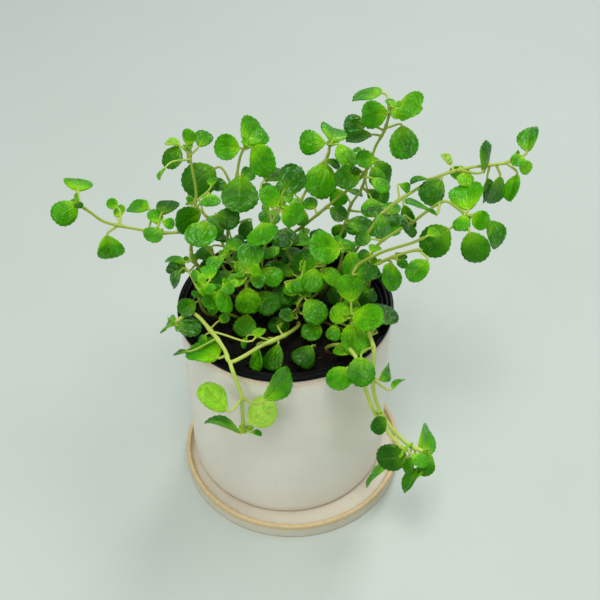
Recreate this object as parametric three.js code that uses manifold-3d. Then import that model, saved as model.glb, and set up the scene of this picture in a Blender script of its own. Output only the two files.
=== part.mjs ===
// A potted pilea plant: a ceramic cover pot on its saucer, a black nursery pot that hangs
// in it by its lip, soil, and leafy stems that grow out of plain holes in the soil.
// Millimetres, +Z up. The origin is the middle of the saucer's flat underside.

import * as THREE from 'three';
import { mergeVertices } from 'three/addons/utils/BufferGeometryUtils.js';
import Module from 'manifold-3d';

const wasm = await Module();
wasm.setup();

// Driving dimensions of the pots. The pots' axis stands a little off the saucer's.
const POT_CENTRE = [-2.0, 2.7];
const ROUND_STEPS = 32;
const SOIL_STEPS = 24;
const HOLE_STEPS = 12;
const EDGE_BEVEL = 0.6;
const SAUCER_RADIUS = 48.2;
const SAUCER_HEIGHT = 7.3;
const SAUCER_FLOOR = 4.5;
const SAUCER_RIM = 1.8;
const SAUCER_COVE = 2.6;
const POT_RADIUS = 42.4;
const POT_WALL = 3.5;
const POT_FLOOR = 5.0;
const POT_TOP = 86.1;
const POT_FOOT_ROUNDING = 4.0;
const DRAIN_RADIUS = 6.0;
const LIP_RADIUS = 43.0;
const LIP_THICKNESS = 2.0;
const LIP_WIDTH = 3.0;
const NURSERY_RADIUS = 38.4;
const NURSERY_FOOT_RADIUS = 30.5;
const NURSERY_FLOOR = 12.0;
const NURSERY_WALL = 0.8;
const SLOT_COUNT = 4;
const SLOT_RADIUS = 3.0;
const SLOT_RING = 20.0;
const SLOT_STEPS = 8;
const SOIL_TOP = 81.0;
const SOIL_SHOULDER = 3.0;
const GAP = 0.3;

// Driving dimensions of the plant
const STEM_SIDES = 4;
const STEM_FOOT_RADIUS = 1.0;
const STEM_TIP_RADIUS = 0.65;
const HOLE_DEPTH = 10.0;
const STALK_WIDTH = 0.9;
const SHORTEST_STALK = 2.2;
const STEEPEST_STALK = 80;
const BLADE_THICKNESS = 0.7;
const BLADE_LENGTH_PER_WIDTH = 1.03;
const BLADE_ARCH = 0.16;
const LARGE_BLADE = 11.5;
const SMALL_BLADE = 8.0;

// A stem with no list of leaves has them in opposite pairs, counted down from its tip
const PAIR_SPACING = 22;
const PAIR_TURN = 90;
const PAIR_SHRINK = 0.12;
const PAIR_RISE = 5;
const PAIR_ROLL = 10;
const PAIR_STALK = 3;
const PAIR_BEND = 15;

// A leaf this much thicker and wider has to miss the other stems and their leaves
const CLEAR_THICKNESS = 1.2;
const CLEAR_GROWTH = 1.04;

// One half of a blade's scalloped outline, from the base to the tip: the share of the
// blade's length, and the half width as a share of its width
const LARGE_OUTLINE = [
  [0.15, 0.23], [0.36, 0.43], [0.47, 0.43], [0.6, 0.5], [0.71, 0.42], [0.86, 0.33],
];
const MIDDLE_OUTLINE = [[0.28, 0.37], [0.5, 0.5], [0.66, 0.42], [0.82, 0.38]];
const SMALL_OUTLINE = [[0.25, 0.33], [0.55, 0.5], [0.85, 0.3]];

// Where a larger blade's midrib has points, as shares of its length
const LARGE_RIBS = [0.35, 0.7];
const MIDDLE_RIBS = [0.5];

// How much the two halves of a blade rise (+) or fall (-) from the midrib, in turn
const CUPS = [-0.2, -0.12, 0.22, -0.28, -0.16, 0.3, -0.24];

// A leaf that would cut another one is turned and lifted by the first of these that clears it
const TURNS = [
  [0, 0], [0, -12], [0, 12], [12, 0], [-12, 0], [15, -15], [-15, -15], [15, 15], [-15, 15],
  [30, 0], [-30, 0], [0, -30], [0, 30], [30, -25], [-30, -25], [45, 10], [-45, 10],
  [60, -20], [-60, -20],
];

// Every leafy stem: its route from the soil to the tip, and its leaves. A leaf is
// [share of the route in percent, heading (0 right, 90 away from the front), rise, roll,
//  width, stalk length, how much the blade bends down from the stalk, the stalk's own turn],
// with angles in degrees. A stem with pairs has [number of pairs, first heading, width].
const STEMS = {
  stem_centre_front: {
    route: [[12, -4, 81], [21, -14, 88], [23, -17, 95], [23, -17, 99]],
    leaves: [
      [100, 110, 70, 0, 10.5, 5, 20, 0], [97, 140, -20, -40, 10, 1, 0, 0],
      [99, 10, -20, 40, 10, 1, 0, 30], [83, 280, -20, -20, 13, 1, 0, -30],
      [73, 250, 10, 0, 6, 12, 0, 0],
    ],
  },
  stem_centre_right: {
    route: [[12, 10, 81], [19, 6, 102], [20, 5, 109], [20, 4, 113]],
    leaves: [
      [100, 200, 30, -40, 13, 1, 0, 0], [95, 280, -20, 0, 10, 2, 0, 90],
      [100, 30, -10, 40, 4, 2, 0, 0], [98, 80, 0, 0, 10, 1, 0, 0], [100, 110, 0, -20, 7, 2, 0, 30],
    ],
  },
  stem_centre: {
    route: [[8, 8, 81], [14, 2, 98], [13, -1, 108], [13, -2, 112]],
    leaves: [
      [95, 160, -10, -40, 5.5, 1, 0, 0], [91, 260, -20, 0, 9.5, 4, 20, -60],
      [86, 340, -40, 20, 8.5, 1, 40, 0],
    ],
  },
  stem_centre_left: {
    route: [[-12, 6, 81], [-18, 2, 89], [-17, -2, 101], [-17, -4, 108]],
    leaves: [
      [100, 90, 30, 20, 9.5, 1, 0, -30], [95, 200, 0, -40, 5.5, 1, 0, 0],
      [93, 330, 0, 40, 6, 2, 20, 0], [85, 270, -30, -20, 11, 3, 0, 0],
      [76, 310, -20, 0, 9.5, 8, 40, 90], [100, 0, 20, 20, 5.5, 2, 20, -30],
      [51, 220, -80, -40, 10.5, 10, 0, 0], [61, 310, 0, 20, 10.5, 5, 0, 30],
    ],
  },
  stem_middle: {
    route: [[-2, 2, 81], [3, -4, 88], [3, -6, 94], [5, -6, 98]],
    leaves: [
      [100, 140, 10, 0, 6.5, 1, 0, 0], [98, 310, -20, 20, 10, 2, 20, 0],
      [75, 130, -10, -20, 4, 1, 0, -60], [47, 220, 10, -20, 8, 13, 0, 90],
      [49, 280, -30, 0, 7, 15, 0, 90], [36, 180, 30, -20, 6, 9, 0, 90],
    ],
  },
  stem_front_low: {
    route: [[6, -20, 81], [8, -22, 85], [9, -23, 88]],
    leaves: [[98, 230, 0, -20, 9.5, 1, 20, 30], [94, 330, -20, 20, 5.5, 1, 0, 0]],
  },
  stem_left_front: {
    route: [[-20, -2, 81], [-25, -7, 91], [-26, -11, 103], [-23, -14, 111]],
    leaves: [
      [98, 270, -20, -40, 9.5, 1, 0, -60], [80, 220, -10, -20, 8, 1, 40, 0],
      [64, 110, 10, 0, 6.5, 1, 0, 0], [53, 220, 10, -40, 4.5, 2, 0, 0],
      [100, 50, -10, 40, 4.5, 1, 0, 30],
    ],
  },
  stem_left_edge: {
    route: [[-28, -2, 81], [-33, -8, 92], [-34, -12, 103], [-32, -16, 112]],
    leaves: [
      [99, 130, 10, -20, 6.5, 1, 0, 0], [100, 40, 30, 20, 8, 1, 0, -30],
      [76, 220, 40, -40, 4, 1, 0, 0], [66, 230, 0, -20, 8.5, 1, 40, 0],
      [100, 310, 10, 40, 5, 2, 40, 0], [86, 240, -10, 0, 7.5, 10, 40, -90],
    ],
  },
  stem_bottom_left: {
    route: [
      [3, -4, 81], [3, -9, 85], [-2, -17, 88], [-11, -26, 91], [-18, -33, 92], [-22, -35, 92],
      [-24, -30, 93], [-30, -21, 95], [-37, -15, 98], [-43, -19, 97],
    ],
    leaves: [
      [100, 250, 40, -60, 10.5, 1, 0, 30], [99, 10, 0, 20, 8, 2, 0, -90],
      [60, 130, 20, -20, 11, 6, 0, 90], [76, 270, -20, 40, 5, 1, 40, -30],
      [71, 160, -10, 20, 7, 13, 20, 60], [76, 330, -10, -20, 6, 1, 40, 30],
      [32, 260, -20, 40, 8, 5, 20, -60], [27, 250, 0, 20, 7, 7, 40, -90],
      [28, 240, -20, 20, 10, 2, 0, 60], [22, 20, -40, 60, 6, 6, 40, 90],
    ],
    branch: {
      route: [
        [-22, -35, 92], [-21, -38, 91], [-20, -39, 88], [-19, -40, 84], [-18, -41, 80],
        [-18, -42, 74], [-18, -43, 65],
      ],
      leaves: [
        [52, 130, 0, 20, 12.5, 7, 0, 90], [91, 50, 0, 0, 13, 2, 20, -90],
        [55, 50, 10, 0, 13, 16, 20, -90], [100, 170, 20, 20, 12, 3, 0, 60],
        [100, 340, 0, -20, 7, 2, 0, -30],
      ],
    },
  },
  stem_drop_outer: {
    route: [
      [22, -12, 81], [28, -14, 90], [30, -23, 92], [31, -27, 90], [31, -30, 79], [32, -32, 70],
      [35, -34, 62], [40, -37, 55], [46, -41, 51], [51, -44, 51],
    ],
    leaves: [
      [31, 250, -30, 20, 11, 5, 20, 0], [47, 50, 10, -40, 8.5, 3, 0, -90],
      [50, 50, 0, -40, 8.5, 7, 0, -90], [100, 80, 20, -20, 10.5, 2, 20, -90],
      [100, 270, -20, 40, 7, 1, 0, 0], [94, 195, 0, 0, 12.5, 4, 0, 60],
      [99, 230, -20, 40, 14, 2, 0, 30], [96, 240, -40, 40, 9.5, 3, 20, 0],
      [24, 140, -20, -20, 4, 5, 0, -90], [24, 40, -10, 40, 11.5, 7, 20, 30],
    ],
  },
  stem_drop_inner: {
    route: [
      [14, -18, 81], [20, -25, 90], [24, -33, 92], [25, -37, 88], [28, -38, 79], [31, -39, 70],
      [35, -40, 62], [39, -42, 57], [43, -44, 53],
    ],
    leaves: [
      [38, 230, 10, -20, 9.5, 8, 20, 0], [71, 270, -20, 0, 7.5, 1, 20, 30],
      [100, 310, 0, -20, 13, 1, 40, 0], [99, 180, -30, 20, 11.5, 10, 0, 60],
      [66, 130, -10, -20, 5, 1, 0, -30],
    ],
  },
  stem_far_left: {
    route: [
      [-22, 16, 81], [-33, 13, 108], [-40, 12, 115], [-49, 11, 116], [-55, 10, 118], [-64, 9, 121],
      [-70, 8, 124], [-74, 7, 129], [-78, 6, 134],
    ],
    leaves: [
      [100, 230, 0, -20, 11, 1, 0, 0], [99, 270, 50, 20, 8.5, 7, 20, 60],
      [96, 30, 30, 20, 4.5, 7, 0, 60], [77, 170, 40, -20, 4.5, 8, 40, -30],
      [76, 90, 30, -20, 5.5, 4, 0, 30], [78, 220, -70, -40, 10.5, 5, 40, 0],
      [63, 170, 50, 0, 9.5, 5, 20, -30], [62, 90, 40, -20, 6.5, 3, 0, -30],
      [61, 80, 10, 20, 7, 11, 0, 0], [61, 350, 0, 40, 4.5, 5, 40, 60],
      [57, 230, 10, -40, 6.5, 3, 40, 0],
    ],
  },
  stem_top_left: {
    route: [
      [-20, 8, 81], [-34, 13, 93], [-39, 15, 101], [-39, 17, 108], [-37, 20, 120], [-36, 22, 127],
      [-37, 24, 138], [-38, 26, 144],
    ],
    leaves: [
      [99, 230, -10, -20, 8, 6, 40, -30], [99, 180, 40, -40, 5.5, 4, 0, 0],
      [100, 80, 80, 0, 6, 1, 0, 0], [97, 30, 30, 20, 8, 5, 0, 0], [97, 110, 0, 0, 5.5, 1, 0, 0],
      [94, 240, -20, 20, 5.5, 16, 40, 0], [63, 240, 0, -20, 9.5, 1, 20, 0],
      [66, 70, 10, 20, 8, 3, 0, -90], [56, 290, -10, 0, 10.5, 3, 40, 90],
      [43, 240, 20, -40, 7.5, 2, 0, 0], [35, 190, 10, 0, 8, 4, 0, 0], [33, 110, 0, 0, 5, 3, 0, 0],
    ],
  },
  stem_left_tall: {
    route: [
      [-14, 20, 81], [-25, 25, 99], [-25, 26, 108], [-24, 28, 117], [-21, 31, 127], [-19, 33, 136],
      [-17, 34, 140],
    ],
    leaves: [
      [99, 200, 30, -60, 10.5, 1, 0, 0], [100, 40, 20, 20, 11, 1, 0, 0],
      [99, 310, -40, 0, 11, 2, 40, 0], [81, 280, -20, 20, 14.5, 2, 20, 0],
      [72, 220, -20, -60, 13.5, 12, 40, -90], [53, 230, 50, 60, 9, 3, 0, 0],
      [50, 230, 0, -20, 7.5, 2, 0, -30], [49, 70, 0, 20, 8, 3, 0, -90],
      [32, 240, -10, -20, 7.5, 9, 20, -30], [27, 180, -30, -40, 7.5, 9, 0, 30],
    ],
  },
  stem_left_low: {
    route: [[-10, 14, 81], [-11, 13, 100], [-7, 11, 119], [-5, 10, 125], [-3, 10, 128]],
    leaves: [
      [100, 170, 40, -40, 10, 1, 0, 0], [99, 320, -20, 20, 8.5, 1, 0, -30],
      [95, 130, -40, -60, 7, 6, 40, 0], [100, 30, 60, 0, 11, 7, 20, 0],
      [64, 110, 10, 0, 10.5, 1, 0, 30], [53, 30, 0, 20, 6, 1, 0, -60],
    ],
  },
  stem_middle_tall: {
    route: [
      [6, 26, 81], [6, 30, 96], [5, 32, 105], [4, 34, 112], [7, 36, 119], [11, 39, 127],
      [15, 41, 130], [16, 42, 135],
    ],
    leaves: [
      [100, 170, 0, -40, 10, 2, 20, 0], [100, 70, 20, 20, 10.5, 2, 20, 30],
      [100, 320, -20, 20, 8.5, 4, 40, 0], [97, 270, -30, -40, 6, 1, 40, 60],
      [90, 250, -30, -40, 15, 1, 0, 0], [80, 290, -80, 20, 8, 12, 40, 60],
      [51, 240, -10, 0, 6, 4, 20, 60], [57, 160, 40, 0, 8, 4, 0, 0], [28, 90, 0, 0, 7.5, 1, 0, 0],
      [25, 90, 0, 0, 8.5, 6, 20, -90], [20, 160, -10, -20, 9.5, 3, 0, 90],
    ],
  },
  stem_top: {
    route: [
      [-8, 28, 81], [-4, 28, 97], [6, 29, 106], [16, 29, 116], [24, 29, 124], [28, 29, 129],
      [31, 29, 135], [33, 30, 142], [36, 30, 149], [38, 30, 159],
    ],
    leaves: [
      [100, 90, 20, 0, 4, 1, 0, 0], [100, 290, -10, 0, 4.5, 1, 0, 0],
      [99, 0, -40, 60, 8.5, 9, 40, 60], [98, 220, 0, -40, 10, 3, 40, 0],
      [97, 200, 10, 60, 11, 8, 40, -60], [91, 290, -40, 60, 13, 4, 40, 90],
      [89, 200, -10, -20, 8, 9, 40, -30], [86, 180, 0, 0, 9.5, 4, 0, 0],
      [68, 160, -30, -60, 10, 3, 20, 0], [68, 150, 10, -20, 5, 1, 20, 0],
      [24, 160, -30, -60, 10, 5, 20, -90], [45, 320, -10, 20, 7.5, 2, 20, 0],
      [40, 120, 30, -20, 6.5, 3, 0, 0], [66, 330, 0, 40, 7.5, 5, 0, 0],
    ],
  },
  stem_right_tall: {
    route: [
      [12, 24, 81], [20, 31, 97], [23, 34, 104], [25, 37, 110], [29, 39, 116], [31, 42, 122],
      [31, 44, 127], [30, 46, 131],
    ],
    leaves: [
      [99, 70, 30, 0, 8, 1, 0, -30], [100, 150, 0, -40, 7, 1, 0, 0], [87, 10, 20, 40, 7, 1, 0, 0],
      [73, 180, 20, -40, 7.5, 14, 0, 90], [73, 60, -20, 40, 7.5, 5, 0, -90],
      [47, 340, 0, 20, 14, 1, 0, -90], [79, 40, 0, 20, 9.5, 4, 0, -90],
      [43, 150, -10, -20, 7, 1, 0, -30], [55, 290, -50, 20, 9.5, 12, 40, 60],
      [85, 50, 30, 20, 6.5, 5, 0, -60],
    ],
  },
  stem_right_long: {
    route: [
      [16, 14, 81], [32, 13, 117], [38, 13, 126], [45, 13, 132], [56, 13, 140], [66, 12, 144],
      [79, 12, 146], [82, 12, 148],
    ],
    leaves: [
      [99, 60, 50, -20, 9.5, 5, 0, -60], [99, 30, 10, 0, 6, 1, 0, 30],
      [100, 300, -10, 20, 6.5, 2, 0, 0], [96, 270, -30, 40, 9.5, 5, 0, 30],
      [93, 110, 20, 0, 8, 1, 0, -30], [90, 260, -20, 20, 11, 6, 0, 30],
      [77, 120, 50, 20, 6, 2, 0, 0], [80, 30, -40, 60, 6.5, 5, 20, 60],
      [72, 240, -30, 0, 10.5, 1, 20, 0], [54, 40, 0, 40, 5, 5, 20, 30],
      [46, 70, 10, 0, 7, 1, 0, -60], [43, 100, 0, 0, 8, 1, 0, 0],
    ],
  },
  stem_right_middle: {
    route: [
      [20, 8, 81], [33, 2, 116], [38, 0, 123], [45, -2, 130], [49, -3, 135], [55, -6, 142],
      [59, -7, 140], [63, -8, 137],
    ],
    leaves: [
      [98, 90, 40, 0, 13.5, 1, 0, -60], [99, 240, 0, 0, 7, 3, 0, 0], [100, 20, 0, 40, 7, 2, 0, -90],
      [100, 310, -20, 0, 12, 3, 0, 0], [100, 280, -30, 0, 11.5, 6, 0, 0],
      [85, 150, -20, 0, 10.5, 1, 0, 0], [100, 180, -50, -40, 15, 8, 0, 0],
      [68, 110, 30, 0, 6, 1, 0, -90], [66, 270, -20, -40, 6, 1, 20, 60],
      [51, 170, 0, -20, 6.5, 5, 0, 0],
    ],
  },
  stem_right_low: {
    route: [
      [18, -2, 81], [24, -10, 115], [32, -14, 125], [37, -16, 129], [43, -18, 133], [47, -20, 137],
    ],
    leaves: [
      [99, 40, 0, 20, 5, 1, 0, 0], [65, 150, 0, 0, 6, 2, 20, -30], [54, 0, 20, 0, 7.5, 11, 0, -90],
    ],
  },
  stem_right_under: {
    route: [
      [24, -2, 81], [29, -12, 116], [33, -14, 121], [37, -17, 126], [43, -20, 131], [46, -22, 133],
    ],
    leaves: [
      [97, 230, -20, 0, 10, 6, 20, 60], [74, 280, -50, 60, 9.5, 2, 20, 60],
      [79, 60, 0, 20, 4.5, 1, 0, -30], [82, 300, 0, 20, 4.5, 3, 20, -30],
    ],
  },
  stem_right_back: {
    route: [[22, 10, 81], [30, 6, 90], [31, 2, 101], [32, 0, 109]],
    leaves: [
      [36, 100, -20, 0, 5.5, 2, 0, -90], [95, 130, 0, -40, 6, 1, 0, 0],
      [65, 210, 50, -60, 5.5, 1, 0, 0],
    ],
  },
  stem_inner_left: {
    route: [[-16, 15, 81], [-21, 13, 93], [-24, 9, 103], [-25, 6, 109]],
    pairs: [3, 60, 9.5],
  },
  stem_inner_back: {
    route: [[1, 17, 81], [1, 16, 94], [-1, 13, 104], [-2, 11, 109]],
    pairs: [3, 20, 10],
  },
  stem_inner_right: {
    route: [[15, 1, 81], [20, -1, 89], [25, -3, 98], [27, -5, 102]],
    pairs: [2, 50, 9],
  },
  stem_inner_middle: {
    route: [[0, 9, 81], [2, 7, 90], [4, 4, 99], [5, 2, 104]],
    pairs: [3, 80, 9.5],
  },
  stem_back_left: {
    route: [[-22, 22, 81], [-28, 32, 93], [-35, 43, 99], [-42, 52, 101]],
    pairs: [3, 40, 9.5],
  },
  stem_back_middle: {
    route: [[-6, 28, 81], [-7, 37, 93], [-6, 49, 99], [-4, 58, 99]],
    pairs: [2, 70, 9.5],
  },
  stem_back_right: {
    route: [[18, 20, 81], [26, 31, 93], [34, 40, 98], [41, 47, 99]],
    pairs: [2, 20, 9.5],
  },
};

function solidOf(geometry) {
  const bare = geometry.clone();
  bare.deleteAttribute('normal');
  bare.deleteAttribute('uv');
  const merged = mergeVertices(bare, 1e-4);
  const mesh = new wasm.Mesh({
    numProp: 3,
    vertProperties: new Float32Array(merged.attributes.position.array),
    triVerts: new Uint32Array(merged.index.array),
  });
  return new wasm.Manifold(mesh);
}

function geometryOf(solid) {
  const mesh = solid.getMesh();
  const geometry = new THREE.BufferGeometry();
  geometry.setAttribute('position', new THREE.Float32BufferAttribute(mesh.vertProperties, 3));
  geometry.setIndex(Array.from(mesh.triVerts));
  return geometry;
}

function solidFromTriangles(points, triangles) {
  const geometry = new THREE.BufferGeometry();
  const positions = points.flatMap((p) => [p.x, p.y, p.z]);
  geometry.setAttribute('position', new THREE.Float32BufferAttribute(positions, 3));
  geometry.setIndex(triangles.flat());
  return solidOf(geometry);
}

// A body turned round the pot's axis from [radius, height] points, listed from the axis
// outwards and up, and back to the axis
function turned(profile, steps = ROUND_STEPS) {
  const points = profile.map(([radius, height]) => new THREE.Vector2(radius, height));
  const geometry = new THREE.LatheGeometry(points, steps);
  geometry.rotateX(Math.PI / 2);
  return geometry;
}

function drill(radius, low, high, x, y, sides) {
  const drillGeometry = new THREE.CylinderGeometry(radius, radius, high - low, sides);
  drillGeometry.rotateX(Math.PI / 2);
  drillGeometry.translate(x, y, (low + high) / 2);
  return solidOf(drillGeometry);
}

function makeSaucer() {
  const inside = SAUCER_RADIUS - SAUCER_RIM;
  return turned([
    [0, 0], [SAUCER_RADIUS - EDGE_BEVEL, 0], [SAUCER_RADIUS, EDGE_BEVEL],
    [SAUCER_RADIUS, SAUCER_HEIGHT - EDGE_BEVEL], [SAUCER_RADIUS - EDGE_BEVEL, SAUCER_HEIGHT],
    [inside, SAUCER_HEIGHT], [inside - EDGE_BEVEL, SAUCER_FLOOR + EDGE_BEVEL],
    [inside - SAUCER_COVE, SAUCER_FLOOR], [0, SAUCER_FLOOR],
  ]);
}

function makeCeramicPot() {
  const inside = POT_RADIUS - POT_WALL;
  const floorTop = SAUCER_FLOOR + POT_FLOOR;
  const footRadius = POT_RADIUS - POT_FOOT_ROUNDING / 2;
  const body = turned([
    [0, SAUCER_FLOOR], [footRadius, SAUCER_FLOOR],
    [POT_RADIUS - POT_FOOT_ROUNDING / 5, SAUCER_FLOOR + POT_FOOT_ROUNDING / 3],
    [POT_RADIUS, SAUCER_FLOOR + POT_FOOT_ROUNDING], [POT_RADIUS, POT_TOP - EDGE_BEVEL],
    [POT_RADIUS - EDGE_BEVEL, POT_TOP], [inside + EDGE_BEVEL, POT_TOP], [inside, POT_TOP - EDGE_BEVEL],
    [inside, floorTop], [0, floorTop],
  ]);
  return solidOf(body).subtract(drill(DRAIN_RADIUS, 0, floorTop + 1, 0, 0, HOLE_STEPS));
}

// The wall's outer radius at a height: the nursery pot narrows towards its foot
function nurseryRadius(height) {
  const share = (height - NURSERY_FLOOR) / (POT_TOP - NURSERY_FLOOR);
  return NURSERY_FOOT_RADIUS + (NURSERY_RADIUS - NURSERY_FOOT_RADIUS) * share;
}

function makeNurseryPot() {
  const lipTop = POT_TOP + LIP_THICKNESS;
  const innerTop = POT_TOP - LIP_THICKNESS;
  const floorTop = NURSERY_FLOOR + NURSERY_WALL;
  let body = solidOf(turned([
    [0, NURSERY_FLOOR], [NURSERY_FOOT_RADIUS, NURSERY_FLOOR], [NURSERY_RADIUS, POT_TOP],
    [LIP_RADIUS - EDGE_BEVEL, POT_TOP], [LIP_RADIUS, POT_TOP + EDGE_BEVEL],
    [LIP_RADIUS, lipTop - EDGE_BEVEL], [LIP_RADIUS - EDGE_BEVEL, lipTop], [LIP_RADIUS - LIP_WIDTH, lipTop],
    [nurseryRadius(innerTop) - NURSERY_WALL, innerTop], [nurseryRadius(floorTop) - NURSERY_WALL, floorTop],
    [0, floorTop],
  ]));
  for (let slot = 0; slot < SLOT_COUNT; slot += 1) {
    const angle = 2 * Math.PI * (slot + 0.5) / SLOT_COUNT;
    const x = SLOT_RING * Math.cos(angle);
    const y = SLOT_RING * Math.sin(angle);
    body = body.subtract(drill(SLOT_RADIUS, NURSERY_FLOOR - 1, floorTop + 1, x, y, SLOT_STEPS));
  }
  return body;
}

// The soil fills the nursery pot, with a plain hole for the foot of each stem
function makeSoil() {
  const low = NURSERY_FLOOR + NURSERY_WALL;
  const footRadius = nurseryRadius(low) - NURSERY_WALL - GAP;
  const topRadius = nurseryRadius(SOIL_TOP) - NURSERY_WALL - GAP;
  let body = solidOf(turned([
    [0, low], [footRadius, low], [topRadius, SOIL_TOP - EDGE_BEVEL],
    [topRadius - SOIL_SHOULDER, SOIL_TOP], [0, SOIL_TOP],
  ], SOIL_STEPS));
  const holeRadius = STEM_FOOT_RADIUS + GAP / Math.cos(Math.PI / STEM_SIDES);
  const holeFloor = SOIL_TOP - HOLE_DEPTH;
  for (const stem of Object.values(STEMS)) {
    const x = stem.route[0][0] - POT_CENTRE[0];
    const y = stem.route[0][1] - POT_CENTRE[1];
    body = body.subtract(drill(holeRadius, holeFloor - GAP, SOIL_TOP + 1, x, y, STEM_SIDES));
  }
  return body;
}

const point = ([x, y, z]) => new THREE.Vector3(x, y, z);

function pointAlong(points, share) {
  const lengths = points.slice(1).map((p, i) => p.distanceTo(points[i]));
  let left = share * lengths.reduce((sum, length) => sum + length, 0);
  for (let i = 0; i < lengths.length; i += 1) {
    if (left <= lengths[i] || i === lengths.length - 1) {
      return points[i].clone().lerp(points[i + 1], Math.min(left / lengths[i], 1));
    }
    left -= lengths[i];
  }
  return points[0].clone();
}

// A closed tube through the points, thinner towards its tip
function makeTube(points, footRadius, tipRadius) {
  const vertices = [];
  const triangles = [];
  let across = new THREE.Vector3(1, 0, 0);
  points.forEach((centre, i) => {
    const before = points[Math.max(i - 1, 0)];
    const after = points[Math.min(i + 1, points.length - 1)];
    const along = after.clone().sub(before).normalize();
    if (i < 2) along.copy(points[1].clone().sub(points[0]).normalize());
    across = across.addScaledVector(along, -across.dot(along)).normalize();
    const up = along.clone().cross(across);
    const radius = footRadius + (tipRadius - footRadius) * i / (points.length - 1);
    for (let side = 0; side < STEM_SIDES; side += 1) {
      const angle = 2 * Math.PI * side / STEM_SIDES;
      const offset = across.clone().multiplyScalar(Math.cos(angle)).addScaledVector(up, Math.sin(angle));
      vertices.push(centre.clone().addScaledVector(offset, radius));
    }
  });
  const ring = (i, side) => i * STEM_SIDES + side % STEM_SIDES;
  for (let i = 0; i < points.length - 1; i += 1) {
    for (let side = 0; side < STEM_SIDES; side += 1) {
      triangles.push([ring(i, side), ring(i, side + 1), ring(i + 1, side + 1)]);
      triangles.push([ring(i, side), ring(i + 1, side + 1), ring(i + 1, side)]);
    }
  }
  const last = points.length - 1;
  for (let side = 1; side < STEM_SIDES - 1; side += 1) {
    triangles.push([ring(0, 0), ring(0, side + 1), ring(0, side)]);
    triangles.push([ring(last, 0), ring(last, side), ring(last, side + 1)]);
  }
  return solidFromTriangles(vertices, triangles);
}

function direction(heading, rise) {
  const turn = THREE.MathUtils.degToRad(heading);
  const lift = THREE.MathUtils.degToRad(rise);
  const level = Math.cos(lift);
  return new THREE.Vector3(Math.cos(turn) * level, Math.sin(turn) * level, Math.sin(lift));
}

// Where a leaf is and how it lies: its stalk's root on the stem, its blade's base, and
// the blade's own axes along, side and normal
function placeLeaf(root, leaf, cup, turn, lift) {
  const [, heading, rise, roll, width, stalk, bend, stalkTurn] = leaf;
  const along = direction(heading + turn, rise + lift);
  const stalkRise = Math.min(rise + lift + bend, STEEPEST_STALK);
  const stalkAlong = direction(heading + turn + stalkTurn, stalkRise);
  const level = new THREE.Vector3(0, 0, 1).cross(along).normalize();
  const upward = along.clone().cross(level);
  const angle = THREE.MathUtils.degToRad(roll);
  const side = level.multiplyScalar(Math.cos(angle)).addScaledVector(upward, Math.sin(angle));
  const stalkSide = side.clone().addScaledVector(stalkAlong, -side.dot(stalkAlong)).normalize();
  return {
    root,
    base: root.clone().addScaledVector(stalkAlong, Math.max(stalk, SHORTEST_STALK)),
    along,
    side,
    normal: along.clone().cross(side),
    stalkSide,
    stalkNormal: stalkAlong.clone().cross(stalkSide),
    width,
    length: width * BLADE_LENGTH_PER_WIDTH,
    cup,
  };
}

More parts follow.
